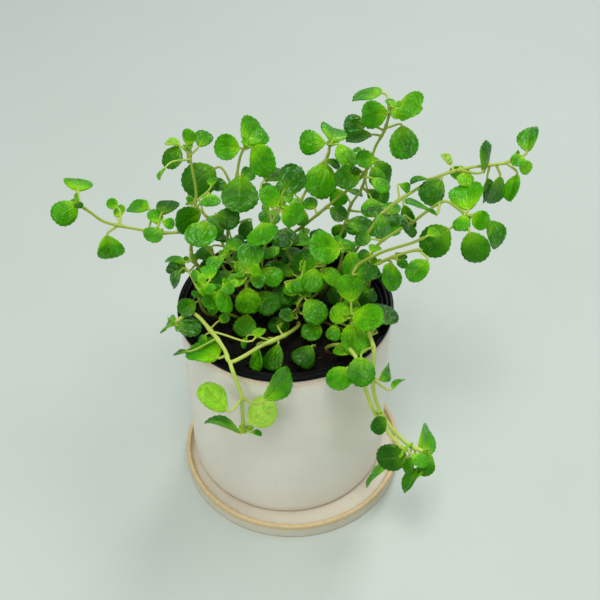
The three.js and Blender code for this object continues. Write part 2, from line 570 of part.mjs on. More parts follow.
// A leaf as one closed thin plate: a flat stalk and an arched blade with a scalloped edge
function makeLeaf(place, thickness, growth, withStalk) {
  let [outline, ribs] = [MIDDLE_OUTLINE, MIDDLE_RIBS];
  if (place.width >= LARGE_BLADE) [outline, ribs] = [LARGE_OUTLINE, LARGE_RIBS];
  if (place.width < SMALL_BLADE) [outline, ribs] = [SMALL_OUTLINE, []];
  const middle = [];
  const normals = [];
  const addPoint = (share, half) => {
    const x = share * place.length;
    const y = half * place.width * growth;
    const lift = place.cup * Math.abs(y) - BLADE_ARCH * place.length * share * share;
    const spot = place.base.clone().addScaledVector(place.along, x).addScaledVector(place.side, y);
    middle.push(spot.addScaledVector(place.normal, lift));
    normals.push(place.normal);
    return middle.length - 1;
  };
  const stalkHalf = STALK_WIDTH / 2;
  const baseRight = addPoint(0, -stalkHalf / place.width);
  const baseLeft = addPoint(0, stalkHalf / place.width);
  const right = [baseRight, ...outline.map(([share, half]) => addPoint(share, -half))];
  const left = [baseLeft, ...outline.map(([share, half]) => addPoint(share, half))];
  const tip = addPoint(growth, 0);
  const rib = ribs.map((share) => addPoint(share, 0));
  const loop = [...right, tip, ...[...left].reverse()];
  const faces = [];
  if (rib.length > 0) faces.push([baseRight, rib[0], baseLeft]);
  for (let i = 0; i < right.length && rib.length === 0; i += 1) {
    if (i + 1 === right.length) faces.push([right[i], tip, left[i]]);
    else faces.push([right[i], right[i + 1], left[i + 1]], [right[i], left[i + 1], left[i]]);
  }
  let current = 0;
  for (let i = 0; i < right.length && rib.length > 0; i += 1) {
    const share = i === 0 ? 0 : outline[i - 1][0];
    if (current + 1 < rib.length && share >= (ribs[current] + ribs[current + 1]) / 2) {
      faces.push([right[i], rib[current + 1], rib[current]], [left[i], rib[current], rib[current + 1]]);
      current += 1;
    }
    const nextRight = i + 1 < right.length ? right[i + 1] : tip;
    const nextLeft = i + 1 < left.length ? left[i + 1] : tip;
    faces.push([right[i], nextRight, rib[current]], [nextLeft, left[i], rib[current]]);
  }
  if (withStalk) {
    middle.push(place.root.clone().addScaledVector(place.stalkSide, -stalkHalf));
    middle.push(place.root.clone().addScaledVector(place.stalkSide, stalkHalf));
    normals.push(place.stalkNormal, place.stalkNormal);
    const [rootRight, rootLeft] = [middle.length - 2, middle.length - 1];
    faces.push([rootRight, baseRight, baseLeft], [rootRight, baseLeft, rootLeft]);
    loop.push(rootLeft, rootRight);
  }
  const count = middle.length;
  const top = middle.map((p, i) => p.clone().addScaledVector(normals[i], thickness / 2));
  const bottom = middle.map((p, i) => p.clone().addScaledVector(normals[i], -thickness / 2));
  // The stalk's underside is one ridge, so its section is a triangle
  const under = middle.map((_, i) => i + count);
  const ridges = withStalk ? [[baseRight, baseLeft], [count - 2, count - 1]] : [[baseRight, baseLeft]];
  for (const [a, b] of ridges) {
    bottom[a].lerp(bottom[b], 0.5);
    under[b] = under[a];
  }
  const triangles = [...faces];
  for (const [a, b, c] of faces) triangles.push([under[a], under[c], under[b]]);
  loop.forEach((a, i) => {
    const b = loop[(i + 1) % loop.length];
    triangles.push([under[a], under[b], b], [under[a], b, a]);
  });
  const whole = triangles.filter(([a, b, c]) => a !== b && b !== c && c !== a);
  return solidFromTriangles([...top, ...bottom], whole);
}

// Leaves in opposite pairs up a stem, each pair square to the last and smaller
function pairedLeaves([count, firstHeading, width]) {
  const leaves = [];
  for (let pair = 0; pair < count; pair += 1) {
    const share = 100 - (count - 1 - pair) * PAIR_SPACING;
    const heading = firstHeading + PAIR_TURN * pair;
    const size = width * (1 - PAIR_SHRINK * pair);
    leaves.push([share, heading, PAIR_RISE, PAIR_ROLL, size, PAIR_STALK, PAIR_BEND, 0]);
    leaves.push([share, heading + 180, PAIR_RISE, -PAIR_ROLL, size, PAIR_STALK, PAIR_BEND, 0]);
  }
  return leaves;
}

const bounds = (solid) => {
  const box = solid.boundingBox();
  return new THREE.Box3(point(box.min), point(box.max));
};

const overlaps = (solid, box, other) => (
  other.box.intersectsBox(box) && !solid.intersect(other.solid).isEmpty()
);

// The holder, centred on the pot's axis, apart from the saucer
const holders = {
  pot_ceramic: makeCeramicPot(),
  nursery_pot: makeNurseryPot(),
  soil: makeSoil(),
};
const potOffset = [POT_CENTRE[0], POT_CENTRE[1], 0];

// Each shoot is a stem or a stem's branch, with its tube and its leaves' places
const shoots = [];
Object.entries(STEMS).forEach(([name, stem]) => {
  const [x, y] = stem.route[0];
  const upright = [point([x, y, SOIL_TOP - HOLE_DEPTH]), point([x, y, SOIL_TOP + 1])];
  const path = stem.route.map(point);
  const tube = makeTube([...upright, ...path.slice(1)], STEM_FOOT_RADIUS, STEM_TIP_RADIUS);
  shoots.push({ name, path, tube, leaves: stem.leaves ?? pairedLeaves(stem.pairs) });
  if (stem.branch) {
    const branchPath = stem.branch.route.map(point);
    const branchTube = makeTube(branchPath, STEM_TIP_RADIUS, STEM_TIP_RADIUS);
    shoots.push({ name, path: branchPath, tube: branchTube, leaves: stem.branch.leaves });
  }
});

const asObstacle = (name, solid) => ({ name, solid, box: bounds(solid) });

// What a leaf has to stay clear of: the holder, the stems, and the leaves placed so far
const obstacles = shoots.map((shoot) => asObstacle(shoot.name, shoot.tube));
for (const [name, solid] of Object.entries(holders)) {
  obstacles.push(asObstacle(name, solid.translate(potOffset)));
}

const pieces = {};
let leafNumber = 0;
for (const shoot of shoots) {
  pieces[shoot.name] ??= { blades: [], wholes: [] };
  const own = pieces[shoot.name];
  own.wholes.push(asObstacle(shoot.name, shoot.tube));
  for (const leaf of shoot.leaves) {
    const root = pointAlong(shoot.path, leaf[0] / 100);
    const cup = CUPS[leafNumber % CUPS.length];
    leafNumber += 1;
    let placed = null;
    for (const [turn, lift] of TURNS) {
      const place = placeLeaf(root, leaf, cup, turn, lift);
      const wide = makeLeaf(place, CLEAR_THICKNESS, CLEAR_GROWTH, true);
      const blade = makeLeaf(place, BLADE_THICKNESS, 1, false);
      const wideBox = bounds(wide);
      const bladeBox = bounds(blade);
      if (obstacles.some((other) => other.name !== shoot.name && overlaps(wide, wideBox, other))) continue;
      if (own.wholes.some((other) => overlaps(blade, bladeBox, other))) continue;
      const whole = makeLeaf(place, BLADE_THICKNESS, 1, true);
      if (own.blades.some((other) => overlaps(whole, wideBox, other))) continue;
      placed = { whole: asObstacle(shoot.name, whole), blade: asObstacle(shoot.name, blade) };
      break;
    }
    if (!placed) continue;
    own.blades.push(placed.blade);
    own.wholes.push(placed.whole);
    obstacles.push(placed.whole);
  }
}

const plant = new THREE.Group();

function addPart(name, geometry, colour, roughness, position = [0, 0, 0]) {
  const flat = geometry.index ? geometry.toNonIndexed() : geometry;
  flat.computeVertexNormals();
  const material = new THREE.MeshStandardMaterial({ color: colour, roughness, metalness: 0 });
  const mesh = new THREE.Mesh(flat, material);
  mesh.name = name;
  mesh.position.set(...position);
  plant.add(mesh);
}

addPart('saucer', makeSaucer(), 0xd9d3c4, 0.5);
addPart('pot_ceramic', geometryOf(holders.pot_ceramic), 0xdcd8cc, 0.4, potOffset);
addPart('nursery_pot', geometryOf(holders.nursery_pot), 0x101213, 0.45, potOffset);
addPart('soil', geometryOf(holders.soil), 0x17120d, 0.95, potOffset);

// The stems' greens differ a little in hue and lightness
Object.entries(pieces).forEach(([name, piece], number) => {
  const body = piece.wholes.map((whole) => whole.solid).reduce((joined, part) => joined.add(part));
  const hue = 0.27 - 0.012 * (number % 4);
  const lightness = 0.28 + 0.02 * (number % 3);
  addPart(name, geometryOf(body), new THREE.Color().setHSL(hue, 0.68, lightness), 0.35);
});

export default plant;
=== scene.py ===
# %% [markdown]
# # A potted pilea, dressed in Blender
# The CAD model gives the true sizes: a ceramic cover pot on its saucer, a black nursery pot
# hung in it by its lip, soil, and thirty leafy stems. This lesson keeps every one of those
# pieces where it is and remakes it finer, then gives each a finish.
# The first lines load the CAD model as a fixed frame. The sizes below are in millimetres,
# as a potter or a grower would measure, and each mesh is scaled to metres as it is made.

# %% Load the frame
import math
import random

import bmesh
import bpy
import numpy as np
from mathutils import Matrix, Vector, noise


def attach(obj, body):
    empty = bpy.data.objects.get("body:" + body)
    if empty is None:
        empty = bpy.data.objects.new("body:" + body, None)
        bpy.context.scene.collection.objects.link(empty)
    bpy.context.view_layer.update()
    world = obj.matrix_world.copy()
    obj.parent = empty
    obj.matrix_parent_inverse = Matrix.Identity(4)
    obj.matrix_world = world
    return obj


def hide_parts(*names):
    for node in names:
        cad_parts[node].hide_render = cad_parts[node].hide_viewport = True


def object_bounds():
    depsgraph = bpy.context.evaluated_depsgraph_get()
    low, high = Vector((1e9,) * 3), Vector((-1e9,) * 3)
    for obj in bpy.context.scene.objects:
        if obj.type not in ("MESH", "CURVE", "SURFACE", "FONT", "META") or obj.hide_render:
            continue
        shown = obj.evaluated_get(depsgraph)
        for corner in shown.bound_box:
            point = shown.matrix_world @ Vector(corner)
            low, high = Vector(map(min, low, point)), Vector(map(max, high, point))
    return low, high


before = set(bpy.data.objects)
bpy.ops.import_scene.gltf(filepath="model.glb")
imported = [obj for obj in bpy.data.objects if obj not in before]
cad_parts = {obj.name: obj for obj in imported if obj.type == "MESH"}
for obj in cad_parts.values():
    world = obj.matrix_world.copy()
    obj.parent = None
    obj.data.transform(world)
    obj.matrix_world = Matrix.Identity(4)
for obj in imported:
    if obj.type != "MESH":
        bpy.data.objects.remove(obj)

MM = 0.001
cad_low, cad_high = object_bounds()
print("the frame has", len(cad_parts), "CAD nodes")
print("CAD box in mm:", [round(c / MM, 1) for c in (*cad_low, *cad_high)])

# %% [markdown]
# ## Camera
# The photograph was taken from above and in front with a long lens. A camera that looks
# along +Y and down needs only its spot, how far it looks down and a slight roll. Its three
# axes are written straight into a matrix, which is plainer than juggling Euler angles.

# %% Put up the camera
scene = bpy.context.scene
CAMERA_SPOT = Vector((3.76, -265.18, 326.20)) * MM
LOOK_DOWN = math.radians(41.6)
CAMERA_ROLL = math.radians(-0.44)
LENS = 54.0
SENSOR = 36.0


def camera_axes(look_down, roll):
    """The camera's own right, up and back directions as the columns of a matrix."""
    level = Vector((1, 0, 0))
    upright = Vector((0, math.sin(look_down), math.cos(look_down)))
    right = level * math.cos(roll) + upright * math.sin(roll)
    up = upright * math.cos(roll) - level * math.sin(roll)
    return Matrix((right, up, right.cross(up))).transposed()


camera_data = bpy.data.cameras.new("photo_camera")
camera_data.lens = LENS
camera_data.sensor_width = SENSOR
camera_data.clip_start = 0.01
camera = bpy.data.objects.new("photo_camera", camera_data)
camera.matrix_world = Matrix.Translation(CAMERA_SPOT) @ camera_axes(LOOK_DOWN, CAMERA_ROLL).to_4x4()
scene.collection.objects.link(camera)
scene.camera = camera
print("camera stands", round(CAMERA_SPOT.length / MM), "mm from the saucer's middle")

# %% [markdown]
# ## Node helpers
# Every finish is a small tree of nodes. A few helpers keep those trees readable: one makes
# a node, sets its values and wires its inputs, and the others are the mixes and ramps that
# all finishes share. A value that is the same all over a surface is set on the shader itself.

# %% Helpers for colours
def srgb(*screen):
    """A colour picked from a screen, three numbers from 0 to 255, as linear light."""
    light = [((c / 255 + 0.055) / 1.055) ** 2.4 if c > 10 else c / 3294 for c in screen]
    return (*light, 1.0)


def darker(colour, share):
    """The same colour with only a share of its light."""
    light = [c * share for c in colour[:3]]
    return (*light, 1.0)


print("a mid grey of 128 is", round(srgb(128, 128, 128)[0], 3), "as linear light")

# %% The frame of every finish
class Finish:
    """A material under construction, with its Principled shader."""

    def __init__(self, name, **sockets):
        self.material = bpy.data.materials.new(name)
        self.material.use_nodes = True
        self.tree = self.material.node_tree
        self.shader = self.tree.nodes["Principled BSDF"]
        for socket, value in sockets.items():
            self.shader.inputs[socket.replace("_", " ")].default_value = value

    def plug(self, socket, source):
        """Sets an input to a value, or wires it to a node's output."""
        if isinstance(source, bpy.types.NodeSocket):
            self.tree.links.new(source, socket)
        else:
            socket.default_value = source

    def node(self, kind, output=0, inputs=None, **settings):
        made = self.tree.nodes.new(kind)
        for name, value in settings.items():
            setattr(made, name, value)
        for name, source in (inputs or {}).items():
            self.plug(made.inputs[name], source)
        return made.outputs[output]

    def place(self):
        """Where a point of the surface is, in metres."""
        return self.node("ShaderNodeTexCoord", "Object")

    def noise(self, scale, detail=3.0, rough=0.55):
        """Soft random spots, scale in spots per millimetre."""
        inputs = {"Vector": self.place(), "Scale": scale / MM, "Detail": detail, "Roughness": rough}
        return self.node("ShaderNodeTexNoise", 0, inputs)

    def cells(self, scale):
        """How far the middle of the nearest random cell is, scale in cells per millimetre."""
        inputs = {"Vector": self.place(), "Scale": scale / MM}
        return self.node("ShaderNodeTexVoronoi", "Distance", inputs)

    def between(self, value, low, high, to_low=0.0, to_high=1.0):
        """Stretches a value smoothly from one range to another and stops at its ends."""
        inputs = {"Value": value, "From Min": low, "From Max": high, "To Min": to_low, "To Max": to_high}
        return self.node("ShaderNodeMapRange", 0, inputs, interpolation_type="SMOOTHSTEP")

    def maths(self, operation, first, second=0.0):
        """One sum with one or two numbers."""
        made = self.tree.nodes.new("ShaderNodeMath")
        made.operation = operation
        self.plug(made.inputs[0], first)
        self.plug(made.inputs[1], second)
        return made.outputs[0]

    def times(self, first, second):
        return self.maths("MULTIPLY", first, second)

    def mix(self, share, first, second):
        """Mixes two colours."""
        made = self.tree.nodes.new("ShaderNodeMix")
        made.data_type = "RGBA"
        for socket, source in zip((made.inputs[0], made.inputs[6], made.inputs[7]), (share, first, second)):
            self.plug(socket, source)
        return made.outputs[2]

    def colour(self, source):
        self.plug(self.shader.inputs["Base Color"], source)

    def roughness(self, source):
        self.plug(self.shader.inputs["Roughness"], source)

    def bump(self, height, depth):
        """Relief from a height of 0 to 1 that stands for a depth in millimetres."""
        inputs = {"Height": height, "Distance": depth * MM, "Strength": 1.0}
        self.plug(self.shader.inputs["Normal"], self.node("ShaderNodeBump", 0, inputs))


print("finishes can be mixed")

# %% [markdown]
# ## Mesh helpers
# Pots are thrown on a wheel, so the natural way to make them is to turn a profile round an
# axis. The profile's corners are softened first, because no fired or moulded edge is sharp,
# and it is the soft edge that catches the light.

# %% Helpers for pieces
def make_piece(name, points, faces, materials, face_materials=None, sharp=35):
    """A piece from points in millimetres."""
    mesh = bpy.data.meshes.new(name)
    mesh.from_pydata((np.asarray(points) * MM).tolist(), [], faces)
    for material in materials:
        mesh.materials.append(material)
    mesh.polygons.foreach_set("use_smooth", [True] * len(mesh.polygons))
    if face_materials is not None:
        mesh.polygons.foreach_set("material_index", face_materials)
    mesh.set_sharp_from_angle(angle=math.radians(sharp))
    mesh.update()
    piece = bpy.data.objects.new(name, mesh)
    scene.collection.objects.link(piece)
    return piece


def hand_over(piece, node):
    """The piece moves with the part and stands for its CAD node, which is hidden."""
    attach(piece, "root")
    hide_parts(node)
    print(piece.name, "replaces", node, "with", len(piece.data.polygons), "faces")


print("pieces can be made and handed over")

# %% Turn profiles
CORNER_STEPS = 5


def soften(profile):
    """Rounds the corners of a closed profile of (radius, height, rounding)."""
    points = []
    for number, (radius, height, rounding) in enumerate(profile):
        corner = np.array((radius, height))
        if rounding == 0:
            points.append(corner)
            continue
        before = np.array(profile[number - 1][:2]) - corner
        after = np.array(profile[(number + 1) % len(profile)][:2]) - corner
        start = corner + before / np.linalg.norm(before) * rounding
        end = corner + after / np.linalg.norm(after) * rounding
        for t in np.linspace(0, 1, CORNER_STEPS):
            points.append((1 - t) ** 2 * start + 2 * t * (1 - t) * corner + t ** 2 * end)
    return points


def round_spot(centre, radius, angle):
    """The spot at a radius and an angle round a centre."""
    return centre[0] + radius * math.cos(angle), centre[1] + radius * math.sin(angle)


def turn_profile(profile, centre, steps=128):
    """Points and faces of a body turned round an upright axis from a closed profile."""
    count = len(profile)
    points = []
    for step in range(steps):
        angle = 2 * math.pi * step / steps
        for radius, height in profile:
            points.append((*round_spot(centre, radius, angle), height))
    faces = []
    for step in range(steps):
        this, following = step * count, (step + 1) % steps * count
        for i in range(count):
            j = (i + 1) % count
            faces.append((this + i, following + i, following + j, this + j))
    return points, faces


print("profiles can be turned")

# %% [markdown]
# ## Floor and light
# The part stands on a plain pale table. The light in the photograph is soft and comes from
# all over a bright room, so the shadows are faint. So there are big area lamps high in front,
# to the right and to the left, a pale sky, and one smaller lamp far behind the plant, whose
# light glints on the leaves.

# %% Lay the floor
def floor_finish():
    finish = Finish("pale_table", Specular_IOR_Level=0.3)
    blotch = finish.noise(0.012)
    finish.colour(finish.mix(blotch, srgb(197, 206, 198), srgb(191, 201, 192)))
    finish.roughness(finish.between(blotch, 0.2, 0.8, 0.5, 0.62))
    return finish.material


FLOOR_HALF = 3000
corners = [(x * FLOOR_HALF, y * FLOOR_HALF, 0) for x, y in ((-1, -1), (1, -1), (1, 1), (-1, 1))]
make_piece("table_top", corners, [(0, 1, 2, 3)], [floor_finish()])
print("the floor is", 2 * FLOOR_HALF, "mm wide")

# %% Hang the lights
PLANT_MIDDLE = Vector((0, 0, 80)) * MM


def soft_lamp(name, spot, size, power, colour):
    """A square area lamp that faces the middle of the plant, spot and size in millimetres."""
    lamp = bpy.data.lights.new(name, "AREA")
    lamp.size = size * MM
    lamp.energy = power
    lamp.color = colour
    holder = bpy.data.objects.new(name, lamp)
    holder.location = Vector(spot) * MM
    holder.rotation_euler = (PLANT_MIDDLE - holder.location).to_track_quat("-Z", "Y").to_euler()
    scene.collection.objects.link(holder)


soft_lamp("window", (300, 1000, 1020), 330, 5.0, (0.98, 1.0, 1.0))
soft_lamp("right_lamp", (700, 200, 1200), 500, 3.6, (0.98, 1.0, 1.0))
soft_lamp("ceiling_lamp", (-50, -400, 1300), 420, 7.2, (1.0, 0.99, 0.96))
soft_lamp("left_fill", (-500, -650, 680), 600, 2.1, (1.0, 1.0, 0.98))

world = bpy.data.worlds.new("pale_room")
scene.world = world
world.use_nodes = True
world.node_tree.nodes["Background"].inputs["Color"].default_value = (0.93, 0.97, 1.0, 1.0)
world.node_tree.nodes["Background"].inputs["Strength"].default_value = 0.38
scene.view_settings.view_transform = "Standard"
print("stage is set")

# %% [markdown]
# ## Glazed stoneware
# Pot and saucer are cream stoneware with a satin glaze. The glaze stops short of the rims,
# where bare sandy clay with dark grains shows. One finish does both: a mask made from the
# height of a point, roughened with noise, chooses between glaze and clay, because a dipped
# glaze always ends in a slightly uneven line.

# %% Mix the stoneware finish
def stoneware(name, glaze, clay, rim_from, foot_to):
    """Glaze, with bare clay above the rim line and below the foot line, both in millimetres."""
    finish = Finish(name, Specular_IOR_Level=0.45, Coat_Weight=0.08, Coat_Roughness=0.35)
    height = finish.node("ShaderNodeSeparateXYZ", "Z", {"Vector": finish.place()})
    wander = finish.between(finish.noise(0.35, 4), 0.3, 0.7, -0.45 * MM, 0.45 * MM)
    edge = finish.maths("ADD", height, wander)
    rim = finish.between(edge, (rim_from - 0.6) * MM, (rim_from + 0.6) * MM)
    foot = finish.between(edge, foot_to * MM, (foot_to + 0.5) * MM, 1.0, 0.0)
    bare = finish.maths("MAXIMUM", rim, foot)

    cloud = finish.between(finish.noise(0.03, 4), 0.3, 0.7)
    skin = finish.mix(cloud, glaze, darker(glaze, 0.93))
    fleck = finish.between(finish.noise(0.9, 2), 0.69, 0.76)
    skin = finish.mix(finish.times(fleck, 0.35), skin, srgb(176, 160, 132))
    pin = finish.between(finish.cells(0.22), 0.0, 0.09, 1.0, 0.0)
    skin = finish.mix(finish.times(pin, 0.3), skin, srgb(132, 112, 86))

    grain = finish.noise(1.6, 3, 0.7)
    sand = finish.mix(finish.between(grain, 0.35, 0.65), clay, darker(clay, 0.8))
    dark_grain = finish.between(finish.noise(2.1, 2), 0.62, 0.7)
    sand = finish.mix(finish.times(dark_grain, 0.4), sand, srgb(120, 84, 52))
    finish.colour(finish.mix(bare, skin, sand))

    gloss = finish.between(cloud, 0.0, 1.0, 0.34, 0.44)
    finish.roughness(finish.maths("ADD", gloss, finish.times(bare, 0.45)))
    ripple = finish.times(finish.noise(0.12, 3), 0.6)
    grit = finish.times(finish.times(grain, bare), 0.5)
    finish.bump(finish.maths("ADD", ripple, grit), 0.25)
    return finish.material


GLAZE = srgb(236, 232, 217)
SAUCER_GLAZE = srgb(214, 208, 190)
SANDY_CLAY = srgb(222, 198, 150)
PINK_CLAY = srgb(250, 230, 208)

# %% Turn the saucer
SAUCER_RADIUS = 48.2
SAUCER_HEIGHT = 7.3
SAUCER_FLOOR = 4.5
SAUCER_RIM = 1.8
SAUCER_BARE = 2.1
BARE_FOOT = 0.5
SAME_SPOT = 0.001
saucer_inside = SAUCER_RADIUS - SAUCER_RIM
saucer_profile = soften([
    (0, 0, 0), (SAUCER_RADIUS, 0, 0.7), (SAUCER_RADIUS, SAUCER_HEIGHT, 0.8),
    (saucer_inside, SAUCER_HEIGHT, 0.7), (saucer_inside - 0.5, SAUCER_FLOOR, 2.0), (0, SAUCER_FLOOR, 0),
])


def weld(piece):
    """Joins points that lie on each other, such as those on the turning axis."""
    shape = bmesh.new()
    shape.from_mesh(piece.data)
    bmesh.ops.remove_doubles(shape, verts=shape.verts, dist=SAME_SPOT * MM)
    shape.to_mesh(piece.data)
    shape.free()


saucer_clay = stoneware("saucer_stoneware", SAUCER_GLAZE, SANDY_CLAY, SAUCER_HEIGHT - SAUCER_BARE, BARE_FOOT)
saucer = make_piece("saucer_turned", *turn_profile(saucer_profile, (0, 0)), [saucer_clay])
weld(saucer)
hand_over(saucer, "saucer")

# %% Turn the cover pot
POT_CENTRE = (-2.0, 2.7)
POT_RADIUS = 42.4
POT_WALL = 3.5
POT_TOP = 86.1
POT_FLOOR_TOP = 9.5
DRAIN_RADIUS = 6.0
POT_BARE = 3.4
pot_inside = POT_RADIUS - POT_WALL
pot_profile = soften([
    (DRAIN_RADIUS, SAUCER_FLOOR, 0.5), (POT_RADIUS - 1.6, SAUCER_FLOOR, 0.9),
    (POT_RADIUS, SAUCER_FLOOR + 3.4, 2.4), (POT_RADIUS, POT_TOP, 0.7),
    (pot_inside, POT_TOP, 0.7), (pot_inside, POT_FLOOR_TOP, 2.5), (DRAIN_RADIUS, POT_FLOOR_TOP, 0.5),
])
pot_clay = stoneware("pot_stoneware", GLAZE, PINK_CLAY, POT_TOP - POT_BARE, SAUCER_FLOOR + BARE_FOOT)
pot = make_piece("cover_pot_turned", *turn_profile(pot_profile, POT_CENTRE), [pot_clay])
hand_over(pot, "pot_ceramic")

# %% [markdown]
# ## Nursery pot
# The plant still sits in the thin black pot it was sold in, hung on the rim by its lip. The
# lip has an outer roll and a second bead inside it, which show as two thin lines of light.
# Moulded plastic is glossy but never perfect, so its roughness varies a little.

# %% Mix the black plastic
def black_plastic():
    finish = Finish("black_plastic", Specular_IOR_Level=0.08)
    cloud = finish.noise(0.15, 4)
    finish.colour(finish.mix(finish.between(cloud, 0.35, 0.65), srgb(5, 6, 6), srgb(10, 11, 12)))
    dust = finish.between(finish.noise(0.5, 5, 0.7), 0.45, 0.75)
    finish.roughness(finish.between(dust, 0.0, 1.0, 0.3, 0.5))
    finish.bump(finish.noise(0.25, 2), 0.03)
    return finish.material


# %% Turn the nursery pot
LIP_RADIUS = 43.0
LIP_TOP = 88.1
NURSERY_RADIUS = 38.4
NURSERY_FOOT_RADIUS = 30.5
NURSERY_FLOOR = 12.0
NURSERY_WALL = 0.8


def nursery_radius(height):
    """The outer radius of the wall, which narrows towards its foot."""
    share = (height - NURSERY_FLOOR) / (POT_TOP - NURSERY_FLOOR)
    return NURSERY_FOOT_RADIUS + (NURSERY_RADIUS - NURSERY_FOOT_RADIUS) * share


inner_top = POT_TOP - 2.0
inner_radius = nursery_radius(inner_top)
inner_floor = NURSERY_FLOOR + NURSERY_WALL
nursery_profile = soften([
    (0, NURSERY_FLOOR, 0), (NURSERY_FOOT_RADIUS, NURSERY_FLOOR, 1.2), (NURSERY_RADIUS, POT_TOP, 0.2),
    # The lip from its edge inwards: the roll, the groove and the second bead
    (LIP_RADIUS, POT_TOP, 0.6), (LIP_RADIUS, LIP_TOP, 0.7), (LIP_RADIUS - 1.5, LIP_TOP, 0.4),
    (LIP_RADIUS - 1.75, LIP_TOP - 0.6, 0.2), (LIP_RADIUS - 2.05, LIP_TOP - 0.6, 0.2),
    (LIP_RADIUS - 2.3, LIP_TOP - 0.1, 0.3), (LIP_RADIUS - 3.1, LIP_TOP - 0.1, 0.4),
    (inner_radius + 0.2, inner_top + 0.9, 0.4), (inner_radius - NURSERY_WALL - 0.5, inner_top + 0.7, 0.3),
    (inner_radius - NURSERY_WALL, inner_top - 0.3, 0.3),
    (nursery_radius(NURSERY_FLOOR + 1) - NURSERY_WALL, inner_floor, 1.0), (0, inner_floor, 0),
])
nursery_pot = make_piece("nursery_pot_turned", *turn_profile(nursery_profile, POT_CENTRE), [black_plastic()])
weld(nursery_pot)

# %% Cut its drain holes
HOLES = 4
HOLE_RING = 20.0
HOLE_RADIUS = 3.0
drill_low, drill_high = NURSERY_FLOOR - 1, NURSERY_FLOOR + 2
drill_profile = [(0, drill_low), (HOLE_RADIUS, drill_low), (HOLE_RADIUS, drill_high), (0, drill_high)]
drills = []
for hole in range(HOLES):
    spot = round_spot(POT_CENTRE, HOLE_RING, 2 * math.pi / HOLES * (hole + 0.5))
    drill = make_piece(f"drain_drill_{hole}", *turn_profile(drill_profile, spot, 24), [])
    weld(drill)
    cut = nursery_pot.modifiers.new(drill.name, "BOOLEAN")
    cut.operation = "DIFFERENCE"
    cut.object = drill
    drills.append(drill)
evaluated = nursery_pot.evaluated_get(bpy.context.evaluated_depsgraph_get())
cut_mesh = bpy.data.meshes.new_from_object(evaluated)
nursery_pot.modifiers.clear()
nursery_pot.data = cut_mesh
for drill in drills:
    bpy.data.objects.remove(drill)
hand_over(nursery_pot, "nursery_pot")

# %% [markdown]
# ## Soil
# Moist potting mix is nearly black, with crumbs of bark in it. A flat disc would look like
# paint, so the top is pushed up and down with noise and then strewn with several hundred
# small uneven lumps, half sunk in it. Each lump carries its own shade as a mesh attribute.

# %% Mix the soil
def set_shades(piece, name, values):
    """Keeps one number for each point, for a finish to read."""
    attribute = piece.data.attributes.new(name, "FLOAT", "POINT")
    attribute.data.foreach_set("value", np.asarray(values, dtype=np.float32))


def potting_mix():
    finish = Finish("potting_mix", Specular_IOR_Level=0.15)
    shade = finish.node("ShaderNodeAttribute", "Fac", attribute_name="shade")
    crumb = finish.noise(0.9, 5, 0.7)
    dark = finish.mix(finish.between(crumb, 0.35, 0.7), srgb(9, 7, 6), srgb(27, 20, 14))
    bark = finish.mix(finish.between(crumb, 0.3, 0.7), srgb(84, 56, 34), srgb(50, 34, 22))
    finish.colour(finish.mix(finish.between(shade, 0.55, 1.0), dark, bark))
    finish.roughness(finish.between(crumb, 0.3, 0.7, 0.65, 0.95))
    finish.bump(crumb, 0.5)
    return finish.material


# %% Fill the pot with soil
SOIL_TOP = 81.0
SOIL_SLACK = NURSERY_WALL + 0.3
soil_foot = nursery_radius(inner_floor) - SOIL_SLACK
soil_edge = nursery_radius(SOIL_TOP) - SOIL_SLACK
soil_profile = [(0, inner_floor), (soil_foot, inner_floor), (soil_edge, SOIL_TOP - 1.2)]
soil_profile += [(soil_edge * share, SOIL_TOP - 0.6 * share ** 6) for share in np.linspace(0.985, 0, 30)]


def uneven(x, y, z):
    """Pushes a point of the soil's top up or down and leaves every other point."""
    if z <= SOIL_TOP - 1:
        return x, y, z
    wide = noise.noise(Vector((x, y, 0)) * 0.22)
    small = noise.noise(Vector((x, y, 5)) * 0.7)
    return x, y, z + (1.1 * wide + 0.5 * small - 0.2)


soil_points, soil_faces = turn_profile(soil_profile, POT_CENTRE, 120)
soil_points = [uneven(*point) for point in soil_points]
soil_shades = [0.0] * len(soil_points)
print("the soil has", len(soil_points), "points before the lumps")

# %% Strew lumps over the soil
ball = bmesh.new()
bmesh.ops.create_icosphere(ball, subdivisions=1, radius=1.0)
ball_points = np.array([v.co for v in ball.verts])
ball_faces = [[v.index for v in face.verts] for face in ball.faces]
ball.free()

LUMPS = 620
SOIL_SEED = 4
dice = random.Random(SOIL_SEED)
for _ in range(LUMPS):
    distance = (soil_edge - 1.5) * math.sqrt(dice.random())
    angle = dice.uniform(0, 2 * math.pi)
    size = 0.35 + 1.1 * dice.random() ** 3
    stretch = np.array([dice.uniform(0.6, 1.4), dice.uniform(0.6, 1.4), dice.uniform(0.5, 0.9)]) * size
    turned = Matrix.Rotation(dice.uniform(0, 6.3), 3, "Z")
    tipped = Matrix.Rotation(dice.uniform(-0.6, 0.6), 3, "X")
    spin = np.array(turned @ tipped)
    wobble = 1 + np.array([dice.uniform(-0.25, 0.25) for _ in ball_points])[:, None]
    spot = np.array((*round_spot(POT_CENTRE, distance, angle), SOIL_TOP + 0.1))
    first = len(soil_points)
    soil_points += [tuple(p) for p in (ball_points * wobble * stretch) @ spin.T + spot]
    soil_faces += [[first + c for c in face] for face in ball_faces]
    soil_shades += [dice.random() ** 2] * len(ball_points)
soil = make_piece("potting_mix", soil_points, soil_faces, [potting_mix()])
set_shades(soil, "shade", soil_shades)
weld(soil)
hand_over(soil, "soil")
